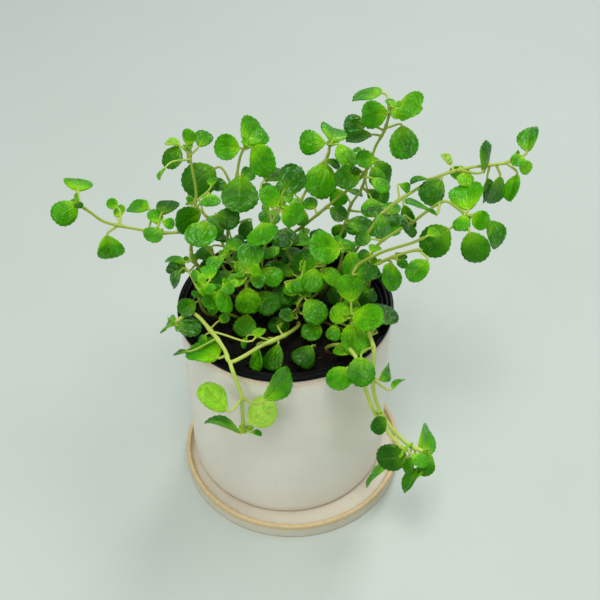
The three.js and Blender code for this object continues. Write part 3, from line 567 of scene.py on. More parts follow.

# %% [markdown]
# ## The plant's plan
# The plan below is the grower's note of the plant: for each stem its route up from the soil,
# and for each leaf where it sits and how it lies. The routes are those of the CAD stems, so
# every leaf grows on the same stem as its plainer CAD leaf. The leaves that show in the
# picture were placed one by one, settled with a small search and rounded. Many of them lie
# otherwise than their CAD leaves do, and a few small ones are new.
# A leaf has a number, which seeds its own small chances, and a row of [share of the route in
# percent, heading, rise, roll, width, stalk length, how far the blade bends down from the
# stalk, the stalk's own turn, fold, youth], in degrees and millimetres. The fold is how much
# the halves of the blade rise (+) or fall (-) from the midrib. Youth runs from 0 for an old,
# dark leaf to 1 for a new, lime one, and a leaf without it takes it from its place on the stem.

# %% Plan the short stems in the middle
STEMS = {
  "stem_centre_front": {
    "route": [[12, -4, 81], [21, -14, 88], [23, -17, 95], [23, -17, 99]],
    "leaves": {
      0: [100, 110, 80, -20, 10.5, 5, 0, 0, -0.2, 0.6],
      1: [97, 140, 0, -40, 8.5, 1, 0, 90, -0.12, 0.75],
      2: [99, 320, 20, 20, 12, 1, 20, -30, 0.15, 0.6],
      3: [83, 280, -20, -20, 12, 1, 40, 0, 0.2, 0.6],
      4: [73, 250, -30, 0, 6, 5, 40, -60, -0.16, 0.4],
    },
  },
  "stem_centre_right": {
    "route": [[12, 10, 81], [19, 6, 102], [20, 5, 109], [20, 4, 113]],
    "leaves": {
      5: [100, 210, 30, -40, 13, 1, 0, 30, 0.2, 0.45],
      6: [95, 280, -10, 20, 10.5, 3, 20, 60, -0.24, 0.25],
      7: [100, 30, -10, 40, 4, 1, 0, 0, -0.2, 0.4], 8: [98, 80, -10, 0, 10, 1, 0, 0, -0.12, 0.45],
      9: [100, 110, 0, -20, 7, 1, 0, 30, 0.22, 0.4],
      212: [45, 240, -30, -20, 7.5, 4, 0, 90, 0.1, 0.15],
    },
  },
  "stem_centre": {
    "route": [[8, 8, 81], [14, 2, 98], [13, -1, 108], [13, -2, 112]],
    "leaves": {
      10: [95, 160, -10, -40, 5.5, 1, 0, 0, -0.28, 0.5],
      11: [91, 260, -20, 0, 9, 4, 20, -60, -0.16, 0.4],
      12: [86, 330, -20, 0, 9, 1, 40, -90, 0.3, 0.6],
      213: [45, 190, -20, -20, 6.5, 13, 0, 0, 0.1, 0.2],
      214: [33, 220, -10, 0, 7.5, 18, 0, 0, 0.1, 0.03],
    },
  },
  "stem_centre_left": {
    "route": [[-12, 6, 81], [-18, 2, 89], [-17, -2, 101], [-17, -4, 108]],
    "leaves": {
      13: [100, 80, 60, -20, 10.5, 2, -20, -90, 0.2, 0.34],
      14: [95, 190, 10, -20, 6.5, 1, 0, 90, -0.2, 0.68], 15: [93, 330, 0, 40, 6, 2, 20, 0, -0.12],
      16: [85, 280, -60, 0, 10.5, 3, 20, 0, 0.2, 0.6],
      17: [76, 330, -10, 40, 8.5, 8, 40, 60, -0.28, 0.45],
      18: [100, 330, 40, 60, 5, 5, 0, -30, -0.16, 0.72],
      20: [61, 310, 0, 20, 10.5, 5, 0, 30, -0.24], 215: [24, 260, -10, 0, 9, 6, 0, 0, 0.1, 0.4],
    },
  },
  "stem_middle": {
    "route": [[-2, 2, 81], [3, -4, 88], [3, -6, 94], [5, -6, 98]],
    "leaves": {
      21: [100, 140, 10, 0, 6.5, 1, 0, 0, -0.2], 22: [98, 310, -20, 20, 10, 2, 20, 0, -0.12],
      23: [75, 130, -10, -20, 4, 1, 0, -60, 0.22], 24: [47, 230, 0, -20, 8, 11, 0, 90, 0.1, 0.3],
      26: [36, 180, 30, -20, 6, 9, 0, 90, 0.3],
    },
  },
  "stem_front_low": {
    "route": [[6, -20, 81], [8, -22, 85], [9, -23, 88]],
    "leaves": {
      27: [98, 240, 0, -20, 9, 1, 40, 0, -0.24, 0.05], 28: [94, 200, -20, 0, 4, 1, 0, 0, 0.1, 0.02],
    },
  },
}
print(len(STEMS), "stems planned")

# %% Plan the stems at the left rim and over the front rim
STEMS |= {
  "stem_left_front": {
    "route": [[-20, -2, 81], [-25, -7, 91], [-26, -11, 103], [-23, -14, 111]],
    "leaves": {
      29: [98, 290, -20, -40, 9, 1, 20, -60, -0.12, 0.4],
      30: [80, 230, -10, -40, 7, 1, 40, 0, 0.22, 0.4], 31: [64, 110, 10, 0, 6.5, 1, 0, 0, -0.28],
      32: [53, 220, 10, -40, 4.5, 2, 0, 0, -0.16], 33: [100, 310, 0, 20, 5, 4, 40, -60, 0.3, 0.3],
    },
  },
  "stem_left_edge": {
    "route": [[-28, -2, 81], [-33, -8, 92], [-34, -12, 103], [-32, -16, 112]],
    "leaves": {
      34: [99, 160, -30, -60, 5, 6, 40, -60, -0.24, 0.4],
      35: [100, 100, 20, 0, 6.5, 4, 0, -60, 0.1, 0.5], 36: [76, 210, 40, 0, 4, 1, 0, 90, 0.2, 0.2],
      37: [66, 220, 0, -40, 7, 1, 0, 0, 0.22, 0.15],
      38: [100, 310, 10, 20, 5, 1, 40, 0, -0.28, 0.45],
      39: [86, 210, -50, 0, 7.5, 19, 40, -90, 0.3, 0.12],
    },
  },
  "stem_bottom_left": {
    "route": [
      [3, -4, 81], [3, -9, 85], [-2, -17, 88], [-11, -26, 91], [-18, -33, 92], [-22, -35, 92],
      [-24, -30, 93], [-30, -21, 95], [-37, -15, 98], [-43, -19, 97],
    ],
    "leaves": {
      40: [100, 140, -40, -20, 9.5, 2, 0, -30, 0.45, 0.27],
      41: [99, 0, 0, 20, 9, 1, 0, -90, -0.24, 0.12],
      42: [60, 140, 0, 0, 13.5, 4, -20, 30, 0.15, 0.4],
      43: [76, 210, -50, -20, 4.5, 3, 20, -30, -0.12, 0.3],
      44: [71, 170, -10, 20, 5, 12, 0, 30, 0.2, 0.2],
      45: [76, 70, 10, -20, 5, 18, 0, -90, 0.2, 0.75],
      46: [32, 270, -20, 60, 9.5, 5, 0, -90, 0.4, 0.55],
      47: [27, 90, -60, 0, 6, 4, 40, 60, 0.1, 0.08], 48: [28, 240, -20, 20, 10, 2, 0, 60, -0.24],
      49: [22, 20, -40, 60, 6, 6, 40, 90, -0.2], 216: [30, 250, -30, 40, 4, 11, 20, -90, 0.4, 0.35],
      217: [78, 20, 20, 20, 4, 5, 20, 0, 0.2, 0.3],
    },
    "branch": {
      "route": [
        [-22, -35, 92], [-21, -38, 91], [-20, -39, 88], [-19, -40, 84], [-18, -41, 80],
        [-18, -42, 74], [-18, -43, 65],
      ],
      "leaves": {
        50: [52, 140, 40, 20, 12.5, 8, -40, 90, 0.1, 0.83],
        51: [91, 10, 40, 40, 11.5, 5, 0, -60, -0.1, 0.88],
        52: [55, 40, 20, 80, 13.5, 19, 20, -90, 0.25, 0.35],
        53: [100, 170, 30, 40, 13, 6, 0, 90, 0.7, 0.3],
        54: [100, 350, 0, -20, 4, 4, 0, -30, 0.5, 0.4],
      },
    },
  },
  "stem_drop_outer": {
    "route": [
      [22, -12, 81], [28, -14, 90], [30, -23, 92], [31, -27, 90], [31, -30, 79], [32, -32, 70],
      [35, -34, 62], [40, -37, 55], [46, -41, 51], [51, -44, 51],
    ],
    "leaves": {
      55: [31, 270, -20, 0, 10.5, 11, 40, -30, 0.2, 0.25],
      56: [47, 50, 0, 80, 8, 3, 0, -90, 0.4, 0.35], 57: [50, 50, 10, -40, 6, 9, 0, -90, 0.6, 0.3],
      58: [100, 60, 0, 60, 12.5, 2, -40, 60, 0.35, 0.5],
      59: [100, 250, -20, -40, 9, 1, 20, 90, 0.4, 0.25],
      60: [94, 180, -10, -60, 11.5, 5, 0, 60, 0.1, 0.05],
      61: [99, 210, -30, 40, 11, 7, 0, 60, 0.3, 0.25],
      62: [96, 230, -60, 40, 9, 4, 0, 30, 0.5, 0.35], 63: [24, 140, -20, -20, 4, 5, 0, -90, -0.2],
      64: [24, 60, 0, 20, 11.5, 8, 0, 0, 0.15, 0.12], 218: [14, 160, 0, 0, 7, 15, 0, 90, 0.3, 0.7],
    },
  },
  "stem_drop_inner": {
    "route": [
      [14, -18, 81], [20, -25, 90], [24, -33, 92], [25, -37, 88], [28, -38, 79], [31, -39, 70],
      [35, -40, 62], [39, -42, 57], [43, -44, 53],
    ],
    "leaves": {
      65: [38, 240, 0, 0, 10, 4, 0, -60, 0.1, 0.35], 66: [71, 230, 0, -60, 7, 5, 0, 90, 0.15, 0.08],
      67: [100, 310, 10, 0, 7, 5, 0, 0, 0.2, 0.4],
      68: [99, 200, -30, 40, 12.5, 12, -40, -30, 0.3, 0.35],
      69: [66, 60, -40, 0, 3, 3, 0, -90, 0.3, 0.5],
    },
  },
}
print(len(STEMS), "stems planned")

# %% Plan the long stems at the left
STEMS |= {
  "stem_far_left": {
    "route": [
      [-22, 16, 81], [-33, 13, 108], [-40, 12, 115], [-49, 11, 116], [-55, 10, 118], [-64, 9, 121],
      [-70, 8, 124], [-74, 7, 129], [-78, 6, 134],
    ],
    "leaves": {
      70: [100, 230, 0, -40, 10, 1, 20, 60, -0.2, 0.38],
      71: [99, 100, 0, 20, 10.5, 9, 0, 0, 0.1, 0.6],
      72: [96, 310, 10, 0, 3.5, 6, 40, -60, 0.3, 0.08],
      73: [77, 160, 30, -40, 4.5, 7, 20, -60, 0.4, 0.6],
      74: [76, 90, 30, -20, 5.5, 4, 0, 30, -0.16],
      75: [78, 290, -80, 0, 10.5, 6, 40, -90, 0.3, 0.4],
      76: [63, 160, 0, 0, 9, 15, 0, -60, 0.3, 0.35],
      77: [62, 110, 30, 20, 6.5, 4, 0, -60, -0.2, 0.5], 78: [61, 70, 10, 0, 9, 8, 20, 0, 0.1, 0.05],
      79: [61, 350, -12, 40, 4.5, 5, 40, 60, 0.22],
      80: [57, 240, 10, -20, 7.5, 6, 40, 30, 0.1, 0.3],
    },
  },
  "stem_top_left": {
    "route": [
      [-20, 8, 81], [-34, 13, 93], [-39, 15, 101], [-39, 17, 108], [-37, 20, 120], [-36, 22, 127],
      [-37, 24, 138], [-38, 26, 144],
    ],
    "leaves": {
      81: [99, 240, -30, 0, 9, 5, 40, -90, -0.16, 0.2],
      82: [99, 160, 10, 0, 5.5, 4, 20, 0, 0.3, 0.85],
      83: [100, 350, 80, 80, 6, 1, 0, -90, -0.24, 0.6],
      84: [97, 60, 30, 20, 7, 5, 0, -30, 0.2, 0.3], 85: [97, 70, -50, 80, 6, 3, 40, 30, -0.12, 0.7],
      86: [94, 240, -20, 40, 5, 16, 40, 0, 0.5, 0.75],
      87: [63, 230, 0, -80, 11, 5, 40, 90, 0.1, 0.15],
      88: [66, 280, 10, 0, 7.5, 18, 40, 30, -0.1, 0.4],
      89: [56, 260, 0, 0, 12.5, 10, 40, 60, 0.2, 0.34],
      90: [43, 170, 10, 20, 7.5, 10, 0, 90, 0.4, 0.3],
      91: [35, 150, 10, -20, 8, 8, 0, 90, 0.2, 0.12], 92: [33, 160, 20, 0, 3, 4, 0, 0, 0.4, 0.6],
      219: [71, 80, 20, -20, 4.5, 9, 20, -60, 0.3, 0.4],
      220: [31, 80, 20, -20, 4.5, 4, 0, 60, 0.2, 0.5],
    },
  },
  "stem_left_tall": {
    "route": [
      [-14, 20, 81], [-25, 25, 99], [-25, 26, 108], [-24, 28, 117], [-21, 31, 127], [-19, 33, 136],
      [-17, 34, 140],
    ],
    "leaves": {
      93: [99, 210, 20, -60, 10, 1, 0, 0, 0.22, 0.45],
      94: [100, 60, 10, 40, 13.5, 1, 0, 30, 0.2, 0.35],
      95: [99, 300, -20, 60, 12.5, 3, 20, 60, 0.1, 0.4],
      96: [81, 270, -20, 0, 14.5, 3, 40, 30, 0.2, 0.2],
      97: [72, 210, -20, -40, 14.5, 17, 20, -90, -0.2, 0.15],
      98: [53, 330, 0, 40, 9, 10, 40, -90, 0.1, 0.1], 99: [50, 230, 0, -20, 7.5, 2, 0, -30, -0.12],
      100: [49, 20, -30, 20, 6, 7, 0, -90, 0.3, 0.15],
      101: [32, 240, 2, -20, 7.5, 9, 20, -30, -0.28],
      102: [27, 200, -10, -20, 7, 11, 20, 30, -0.16, 0.05],
      221: [74, 50, 10, 40, 6.5, 5, 0, 0, 0.1, 0.3],
      222: [77, 180, 0, -40, 5.5, 4, 0, 30, 0.1, 0.12],
    },
  },
  "stem_left_low": {
    "route": [[-10, 14, 81], [-11, 13, 100], [-7, 11, 119], [-5, 10, 125], [-3, 10, 128]],
    "leaves": {
      103: [100, 160, 50, -40, 8.5, 1, 0, 60, 0.3, 0.4],
      104: [99, 310, 20, 40, 10, 4, 0, -30, 0.1, 0.35], 105: [95, 130, -40, -60, 7, 6, 40, 0, -0.2],
      106: [100, 10, 60, 40, 11, 7, 20, 30, 0.1, 0.12],
      107: [64, 270, 10, 20, 12, 11, 60, -30, 0.1, 0.4], 108: [53, 30, 0, 20, 6, 1, 0, -60, -0.28],
      223: [81, 40, 10, 0, 9, 19, 20, 60, 0.2, 0.1],
    },
  },
}
print(len(STEMS), "stems planned")

# %% Plan the tall stems in the middle
STEMS |= {
  "stem_middle_tall": {
    "route": [
      [6, 26, 81], [6, 30, 96], [5, 32, 105], [4, 34, 112], [7, 36, 119], [11, 39, 127],
      [15, 41, 130], [16, 42, 135],
    ],
    "leaves": {
      109: [100, 180, 0, -60, 10, 1, 20, -30, -0.16, 0.5],
      110: [100, 80, 0, 20, 13.5, 1, 40, -30, 0.4, 0.35],
      111: [100, 310, -20, 0, 10, 4, 40, 30, -0.24, 0.65],
      112: [97, 350, -20, 0, 6, 5, 0, -90, 0.3, 0.1],
      113: [90, 250, -40, -20, 13.5, 1, 20, 30, -0.12, 0.4],
      114: [80, 310, -60, 40, 7.5, 11, 20, 30, 0.22, 0.45],
      115: [51, 240, -10, 0, 6, 4, 20, 60, -0.28], 116: [57, 160, 40, 0, 8, 4, 0, 0, -0.16],
      117: [28, 90, 10, 0, 5, 1, 0, 0, 0.3, 0.4], 118: [25, 80, 10, 0, 7, 5, 0, -60, -0.24, 0.05],
      119: [20, 160, -10, -20, 9.5, 3, 0, 90, -0.2],
    },
  },
  "stem_top": {
    "route": [
      [-8, 28, 81], [-4, 28, 97], [6, 29, 106], [16, 29, 116], [24, 29, 124], [28, 29, 129],
      [31, 29, 135], [33, 30, 142], [36, 30, 149], [38, 30, 159],
    ],
    "leaves": {
      120: [100, 90, 0, 0, 4, 3, 0, 0, -0.12, 0.35],
      121: [100, 290, -20, 20, 4.5, 1, 40, 0, 0.22, 0.8],
      122: [99, 300, 30, 40, 12, 3, 0, 60, 0.1, 0.6],
      123: [98, 210, 10, -60, 10, 1, 0, 30, -0.16, 0.3],
      124: [97, 160, -10, 0, 11.5, 12, 20, -60, 0.1, 0.35],
      125: [91, 290, -50, 0, 12, 7, 40, 90, -0.24, 0.34],
      126: [89, 200, 10, -60, 8, 9, 20, 0, -0.2, 0.12],
      127: [86, 190, 0, 0, 9.5, 4, 20, 0, 0.3, 0.15],
      128: [68, 210, 0, -40, 10, 1, 20, 0, 0.15, 0.18],
      129: [68, 190, 30, -20, 4, 1, 20, 30, -0.28, 0.05],
      130: [24, 260, 10, 0, 11, 13, 40, 0, 0.1, 0.12],
      131: [45, 320, -10, 40, 7, 1, 20, 0, 0.3, 0.05], 132: [40, 120, 18, -20, 6.5, 3, 0, 0, -0.24],
      133: [66, 330, -10, 0, 7.5, 5, 20, 0, -0.2, 0.45],
    },
  },
}
print(len(STEMS), "stems planned")

# %% Plan the stems at the right
STEMS |= {
  "stem_right_tall": {
    "route": [
      [12, 24, 81], [20, 31, 97], [23, 34, 104], [25, 37, 110], [29, 39, 116], [31, 42, 122],
      [31, 44, 127], [30, 46, 131],
    ],
    "leaves": {
      134: [99, 190, 20, -40, 7.5, 19, 0, 90, 0.1, 0.4],
      135: [100, 150, 0, 0, 4, 1, 0, 90, 0.4, 0.3], 136: [87, 330, -50, 0, 12, 8, 40, 90, 0.3, 0.2],
      137: [73, 270, -10, 0, 8.5, 7, 0, 30, -0.16, 0.55],
      138: [73, 10, -20, 60, 6, 7, 0, -30, 0.3, 0.15],
      139: [47, 0, -10, 0, 13, 3, 20, -90, 0.2, 0.3],
      140: [79, 320, -30, 40, 5, 5, 0, -30, -0.2, 0.05],
      141: [43, 210, -70, -40, 7, 1, 40, -90, -0.12, 0.3],
      142: [55, 330, -60, 20, 10, 12, 40, 30, 0.22, 0.34],
      143: [85, 300, -30, 20, 7, 3, 40, 90, -0.28, 0.55],
      224: [58, 0, -10, 0, 6, 14, 0, 90, 0.3, 0.15],
    },
  },
  "stem_right_long": {
    "route": [
      [16, 14, 81], [32, 13, 117], [38, 13, 126], [45, 13, 132], [56, 13, 140], [66, 12, 144],
      [79, 12, 146], [82, 12, 148],
    ],
    "leaves": {
      144: [99, 80, 40, -40, 9.5, 6, 0, -90, 0.5, 0.34],
      145: [99, 230, 0, -20, 5.5, 7, 40, 60, 0.3, 0.55],
      146: [100, 320, -40, 20, 5.5, 1, 40, 0, 0.3, 0.75],
      147: [96, 240, -30, 40, 9.5, 7, 20, 60, 0.4, 0.4],
      148: [93, 250, -60, -60, 10, 5, 0, 60, 0.1, 0.2],
      149: [90, 300, -70, -20, 9, 5, 0, -30, 0.3, 0.12],
      150: [77, 130, 40, 20, 5, 3, 0, -30, 0.2, 0.9], 151: [80, 80, -60, 0, 8, 6, 40, 0, 0.4, 0.2],
      152: [72, 220, -40, -20, 10, 1, 40, 60, 0.3, 0.14],
      153: [54, 350, -30, 20, 4.5, 9, 40, 90, 0.4, 0.3], 154: [46, 70, 10, 0, 7, 1, 0, -60, -0.2],
      155: [43, 100, 0, 0, 8, 1, 0, 0, -0.12], 225: [71, 190, 0, 20, 6, 4, 0, 0, 0.5, 0.15],
      226: [81, 270, 0, 0, 6.5, 1, 0, 0, 0.1, 0.75],
      227: [78, 60, 20, 80, 12, 11, 0, -90, -0.3, 0.15],
      228: [57, 290, -40, 80, 9, 4, 20, -30, 0.1, 0.1],
      229: [47, 280, -40, -40, 9.5, 2, 40, -60, 0.1, 0.34],
    },
  },
  "stem_right_middle": {
    "route": [
      [20, 8, 81], [33, 2, 116], [38, 0, 123], [45, -2, 130], [49, -3, 135], [55, -6, 142],
      [59, -7, 140], [63, -8, 137],
    ],
    "leaves": {
      156: [98, 90, 20, -20, 12.5, 1, 0, -60, 0.25, 0.45],
      157: [99, 250, -10, 0, 6.5, 1, 40, 0, -0.28, 0.5],
      158: [100, 300, 10, 60, 7, 3, 20, 0, -0.16, 0.45],
      159: [100, 320, -50, 0, 10, 8, 40, 30, 0.3, 0.24],
      160: [100, 300, -50, 40, 11, 8, 40, -30, -0.24, 0.22],
      161: [85, 190, 40, 20, 12, 6, -40, 60, 0.2, 0.3],
      162: [100, 190, -40, -40, 12.5, 8, 0, 0, -0.15, 0.2],
      163: [68, 270, 10, -40, 7.5, 6, 40, -60, -0.3, 0.12],
      164: [66, 300, -10, -20, 6, 1, 40, -90, 0.4, 0.2],
      165: [51, 170, 0, -40, 6, 5, 0, 0, -0.16, 0.15],
    },
  },
  "stem_right_low": {
    "route": [
      [18, -2, 81], [24, -10, 115], [32, -14, 125], [37, -16, 129], [43, -18, 133], [47, -20, 137],
    ],
    "leaves": {
      166: [99, 40, 0, 20, 5, 1, 0, 0, 0.3], 167: [65, 160, 0, -20, 4.5, 1, 0, -60, -0.24, 0.1],
      168: [54, 350, 20, 0, 8.5, 9, 0, -90, 0.2, 0.08], 230: [56, 60, 0, 0, 5, 9, 0, 0, 0.2, 0.75],
    },
  },
  "stem_right_under": {
    "route": [
      [24, -2, 81], [29, -12, 116], [33, -14, 121], [37, -17, 126], [43, -20, 131], [46, -22, 133],
    ],
    "leaves": {
      169: [97, 220, -20, 0, 9, 5, 0, 90, 0.3, 0.3],
      170: [74, 270, -20, -40, 10, 1, 0, 60, 0.15, 0.35],
      171: [79, 60, 0, 0, 4.5, 1, 0, -90, 0.2, 0.1], 172: [82, 310, 0, 0, 4, 1, 0, -30, 0.2, 0.1],
    },
  },
  "stem_right_back": {
    "route": [[22, 10, 81], [30, 6, 90], [31, 2, 101], [32, 0, 109]],
    "leaves": {
      173: [36, 100, -20, 0, 5.5, 2, 0, -90, 0.3], 174: [95, 100, -25, -40, 6, 1, 0, 0, -0.24],
      175: [65, 225, 35, -60, 5.5, 1, 0, 0, -0.2],
    },
  },
}
print(len(STEMS), "stems planned")

# %% Plan the stems hidden behind the others
STEMS |= {
  "stem_inner_left": {
    "route": [[-16, 15, 81], [-21, 13, 93], [-24, 9, 103], [-25, 6, 109]],
    "leaves": {
      176: [56, 130, 0, -40, 10.5, 7, 0, -90, 0.2, 0.3],
      177: [56, 240, 5, -10, 9.5, 3, 15, 0, 0.22],
      178: [78, 180, -20, 0, 8.36, 3, 20, 0, -0.28, 0.2],
      179: [78, 330, 0, 0, 8.36, 3, 20, 0, -0.16, 0.3], 180: [100, 240, 5, 10, 7.22, 3, 15, 0, 0.3],
      181: [100, 60, 10, 20, 7.22, 3, 0, 0, -0.24, 0.35],
    },
  },
  "stem_inner_back": {
    "route": [[1, 17, 81], [1, 16, 94], [-1, 13, 104], [-2, 11, 109]],
    "leaves": {
      182: [56, 20, 10, 20, 10, 3, 0, 0, -0.2, 0.12],
      183: [56, 230, 10, -40, 10, 3, 0, 0, -0.12, 0.3], 184: [78, 110, 5, 10, 8.8, 3, 15, 0, 0.22],
      185: [78, 290, 20, 60, 8.8, 3, 0, 0, -0.28, 0.15],
      186: [100, 212, 5, 10, 7.6, 3, 15, 0, -0.16], 187: [100, 20, 10, 0, 7.6, 3, 0, 0, 0.3, 0.4],
    },
  },
  "stem_inner_right": {
    "route": [[15, 1, 81], [20, -1, 89], [25, -3, 98], [27, -5, 102]],
    "leaves": {
      188: [78, 310, -30, 20, 7, 4, 20, 90, 0.1, 0.1], 189: [78, 260, -20, -10, 9, 3, 15, 0, -0.2],
      190: [100, 140, -25, 10, 7.92, 3, 15, 0, -0.12],
      191: [100, 330, -30, 0, 5, 3, 0, 0, 0.2, 0.03],
    },
  },
  "stem_inner_middle": {
    "route": [[0, 9, 81], [2, 7, 90], [4, 4, 99], [5, 2, 104]],
    "leaves": {
      192: [56, 70, 10, 20, 9.5, 3, 0, 0, -0.28, 0.15],
      193: [56, 230, 5, -10, 9.5, 3, 15, 0, -0.16], 194: [78, 170, 20, 0, 8.36, 3, 0, 0, 0.3, 0.15],
      195: [78, 20, 5, -10, 8.36, 3, 15, 0, -0.24], 196: [100, 260, -7, 10, 7.22, 3, 15, 0, -0.2],
      197: [100, 70, 20, 0, 7.22, 3, 0, 0, -0.12, 0.2],
      231: [73, 320, 0, 20, 5, 9, 20, -90, 0.1, 0.45],
    },
  },
  "stem_back_left": {
    "route": [[-22, 22, 81], [-28, 32, 93], [-35, 43, 99], [-42, 52, 101]],
    "leaves": {
      198: [56, 250, -10, -60, 8, 19, 40, 90, 0.1, 0.15],
      199: [56, 290, 10, -20, 7.5, 4, 40, 0, -0.28, 0.05],
      200: [78, 220, 0, 0, 3.5, 9, 40, -90, 0.5, 0.4], 201: [78, 310, 5, -10, 8.36, 3, 15, 0, 0.3],
      202: [100, 230, 0, -40, 5.5, 6, 0, 30, -0.24, 0.1],
    },
  },
  "stem_back_middle": {
    "route": [[-6, 28, 81], [-7, 37, 93], [-6, 49, 99], [-4, 58, 99]],
    "leaves": {
      204: [78, 70, 17, 10, 9.5, 3, 15, 0, -0.12], 205: [78, 250, 5, -10, 9.5, 3, 15, 0, 0.22],
      206: [100, 170, 30, -40, 7, 3, 0, 0, -0.28, 0.15],
      207: [100, 340, -7, -10, 8.36, 3, 15, 0, -0.16],
    },
  },
  "stem_back_right": {
    "route": [[18, 20, 81], [26, 31, 93], [34, 40, 98], [41, 47, 99]],
    "leaves": {
      208: [78, 20, 5, 10, 9.5, 3, 15, 0, 0.3], 209: [78, 200, 5, -10, 9.5, 3, 15, 0, -0.24],
      210: [100, 110, 5, 10, 8.36, 3, 15, 0, -0.2],
      211: [100, 290, -25, -10, 8.36, 3, 15, 0, -0.12],
    },
  },
}
print(len(STEMS), "stems planned")

# %% List the shoots
shoots = []
for node, stem in STEMS.items():
    shoots.append((node, stem["route"], stem["leaves"], "stem"))
    if "branch" in stem:
        shoots.append((node, stem["branch"]["route"], stem["branch"]["leaves"], "branch"))
print(len(STEMS), "stems,", len(shoots), "shoots,", sum(len(shoot[2]) for shoot in shoots), "leaves")

# %% [markdown]
# ## Where each leaf lies
# A blade has three directions of its own: along the midrib, sideways, and up out of its face.
# They follow from its heading, rise and roll. The stalk starts at a share of the stem's whole
# length, so a leaf stays on its stem however the route bends.

# %% Find each leaf's place
BLADE_PER_WIDTH = 1.03
SHORTEST_STALK = 2.2
STEEPEST_STALK = 80


def direction(heading, rise):
    turn, lift = math.radians(heading), math.radians(rise)
    return np.array((math.cos(turn) * math.cos(lift), math.sin(turn) * math.cos(lift), math.sin(lift)))


def unit(vector):
    return vector / np.linalg.norm(vector)


def point_along(route, share):
    """The point at a share of a route's whole length."""
    route = np.array(route, dtype=float)
    reach = np.append(0, np.cumsum(np.linalg.norm(np.diff(route, axis=0), axis=1)))
    return np.array([np.interp(share * reach[-1], reach, route[:, axis]) for axis in range(3)])


def place_leaf(number, route, row):
    """The blade's base and its own axes, and the direction in which its stalk leaves the stem."""
    percent, heading, rise, roll, width, stalk, bend, stalk_turn, fold, *youth = row
    share = percent / 100
    root = point_along(route, share)
    along = direction(heading, rise)
    stalk_along = direction(heading + stalk_turn, min(rise + bend, STEEPEST_STALK))
    level = unit(np.cross((0, 0, 1), along))
    angle = math.radians(roll)
    side = level * math.cos(angle) + np.cross(along, level) * math.sin(angle)
    return {
        "number": number, "share": share, "youth": youth[0] if youth else None,
        "root": root, "stalk": stalk_along, "base": root + stalk_along * max(stalk, SHORTEST_STALK),
        "along": along, "side": side, "normal": np.cross(along, side),
        "width": width, "length": width * BLADE_PER_WIDTH, "fold": fold,
    }


leaf_places = []
for _, route, leaves, _ in shoots:
    leaf_places.append([place_leaf(number, route, row) for number, row in leaves.items()])
widths = [place["width"] for places in leaf_places for place in places]
print(len(widths), "leaves have their place,", min(widths), "to", max(widths), "mm wide")

# %% [markdown]
# ## Stems
# A real stem is a smooth, slightly juicy rod. The CAD stem runs in straight stretches, so a
# curve is drawn through the same corners and a round tube is laid along it. The tube swells
# a little where leaves grow, as this kind of plant does at each joint, and its foot near the
# soil is dark, partly as the oldest stretch of a stem is and partly as painted shade among
# the leaves and inside the pot.

# %% Curves and tubes
CURVE_STEP = 1.2
STEM_SIDES = 10
STALK_SIDES = 8


def smooth_curve(route):
    """A smooth curve through all points of a route, with a point about every CURVE_STEP."""
    points = [np.array(p, dtype=float) for p in route]
    points = [2 * points[0] - points[1], *points, 2 * points[-1] - points[-2]]
    curve = []
    for before, start, end, after in zip(points, points[1:], points[2:], points[3:]):
        gap = np.linalg.norm(end - start)
        lead = (end - before) / (1 + np.linalg.norm(start - before) / gap)
        leave = (after - start) / (1 + np.linalg.norm(after - end) / gap)
        for t in np.arange(0, 1, 1 / max(2, round(gap / CURVE_STEP))):
            curve.append((2 * t**3 - 3 * t**2 + 1) * start + (t**3 - 2 * t**2 + t) * lead
                         + (3 * t**2 - 2 * t**3) * end + (t**3 - t**2) * leave)
    return np.array([*curve, points[-2]])


def tube(curve, radii, sides):
    """Points and faces of a round tube along a curve, closed at both ends."""
    curve = np.asarray(curve)
    across = np.array((1.0, 0.0, 0.0))
    points = []
    for i, centre in enumerate(curve):
        along = unit(curve[min(i + 1, len(curve) - 1)] - curve[max(i - 1, 0)])
        if abs(along @ across) > 0.98:
            across = np.array((0.0, 1.0, 0.0))
        across = unit(across - along * (across @ along))
        up = np.cross(along, across)
        for angle in np.arange(sides) * 2 * math.pi / sides:
            points.append(centre + (across * math.cos(angle) + up * math.sin(angle)) * radii[i])
    faces = []
    for i in range(len(curve) - 1):
        this, following = i * sides, (i + 1) * sides
        for side in range(sides):
            after = (side + 1) % sides
            faces.append([this + side, this + after, following + after, following + side])
    points += [curve[0], curve[-1]]
    last = (len(curve) - 1) * sides
    for side in range(sides):
        after = (side + 1) % sides
        faces.append([len(points) - 2, after, side])
        faces.append([len(points) - 1, last + side, last + after])
    return np.array(points), faces


print("a stem has", STEM_SIDES, "sides and a stalk has", STALK_SIDES)

# %% Gather the parts of a shoot
BLADE, UNDERSIDE, STEM = range(3)


class Bundle:
    """Gathers the stems and leaves of one node before they become one mesh."""

    def __init__(self):
        self.points, self.faces, self.finishes, self.veins, self.tones = [], [], [], [], []

    def add(self, points, faces, finishes, veins, tone):
        first = len(self.points)
        self.points.extend(points.tolist())
        self.faces.extend([c + first for c in face] for face in faces)
        self.finishes.extend(finishes)
        self.veins.extend(veins)
        self.tones.extend([tone] * len(points) if np.isscalar(tone) else tone)

    def add_rod(self, curve, radii, tone, sides=STEM_SIDES):
        points, faces = tube(curve, radii, sides)
        self.add(points, faces, [STEM] * len(faces), [(0, 0, 0)] * len(points), tone)


print("bundles sort their faces into finishes", BLADE, UNDERSIDE, STEM)

# %% Shape the stems
FOOT_RADIUS = 0.68
TIP_RADIUS = 0.5
STOUT_FOOT = 0.8
STOUT_TIP = 0.75
STOUT_STEMS = ("stem_bottom_left", "stem_drop_outer", "stem_drop_inner")
FOOT_DEPTH = 6.0
# The dark foot of a stem, partly old stem colour and partly painted shade: its length and how dark.
DARK_RUN = 26.0
DARKEST = 1.6
JOINT_SWELLING = 0.35
JOINT_REACH = 1.1


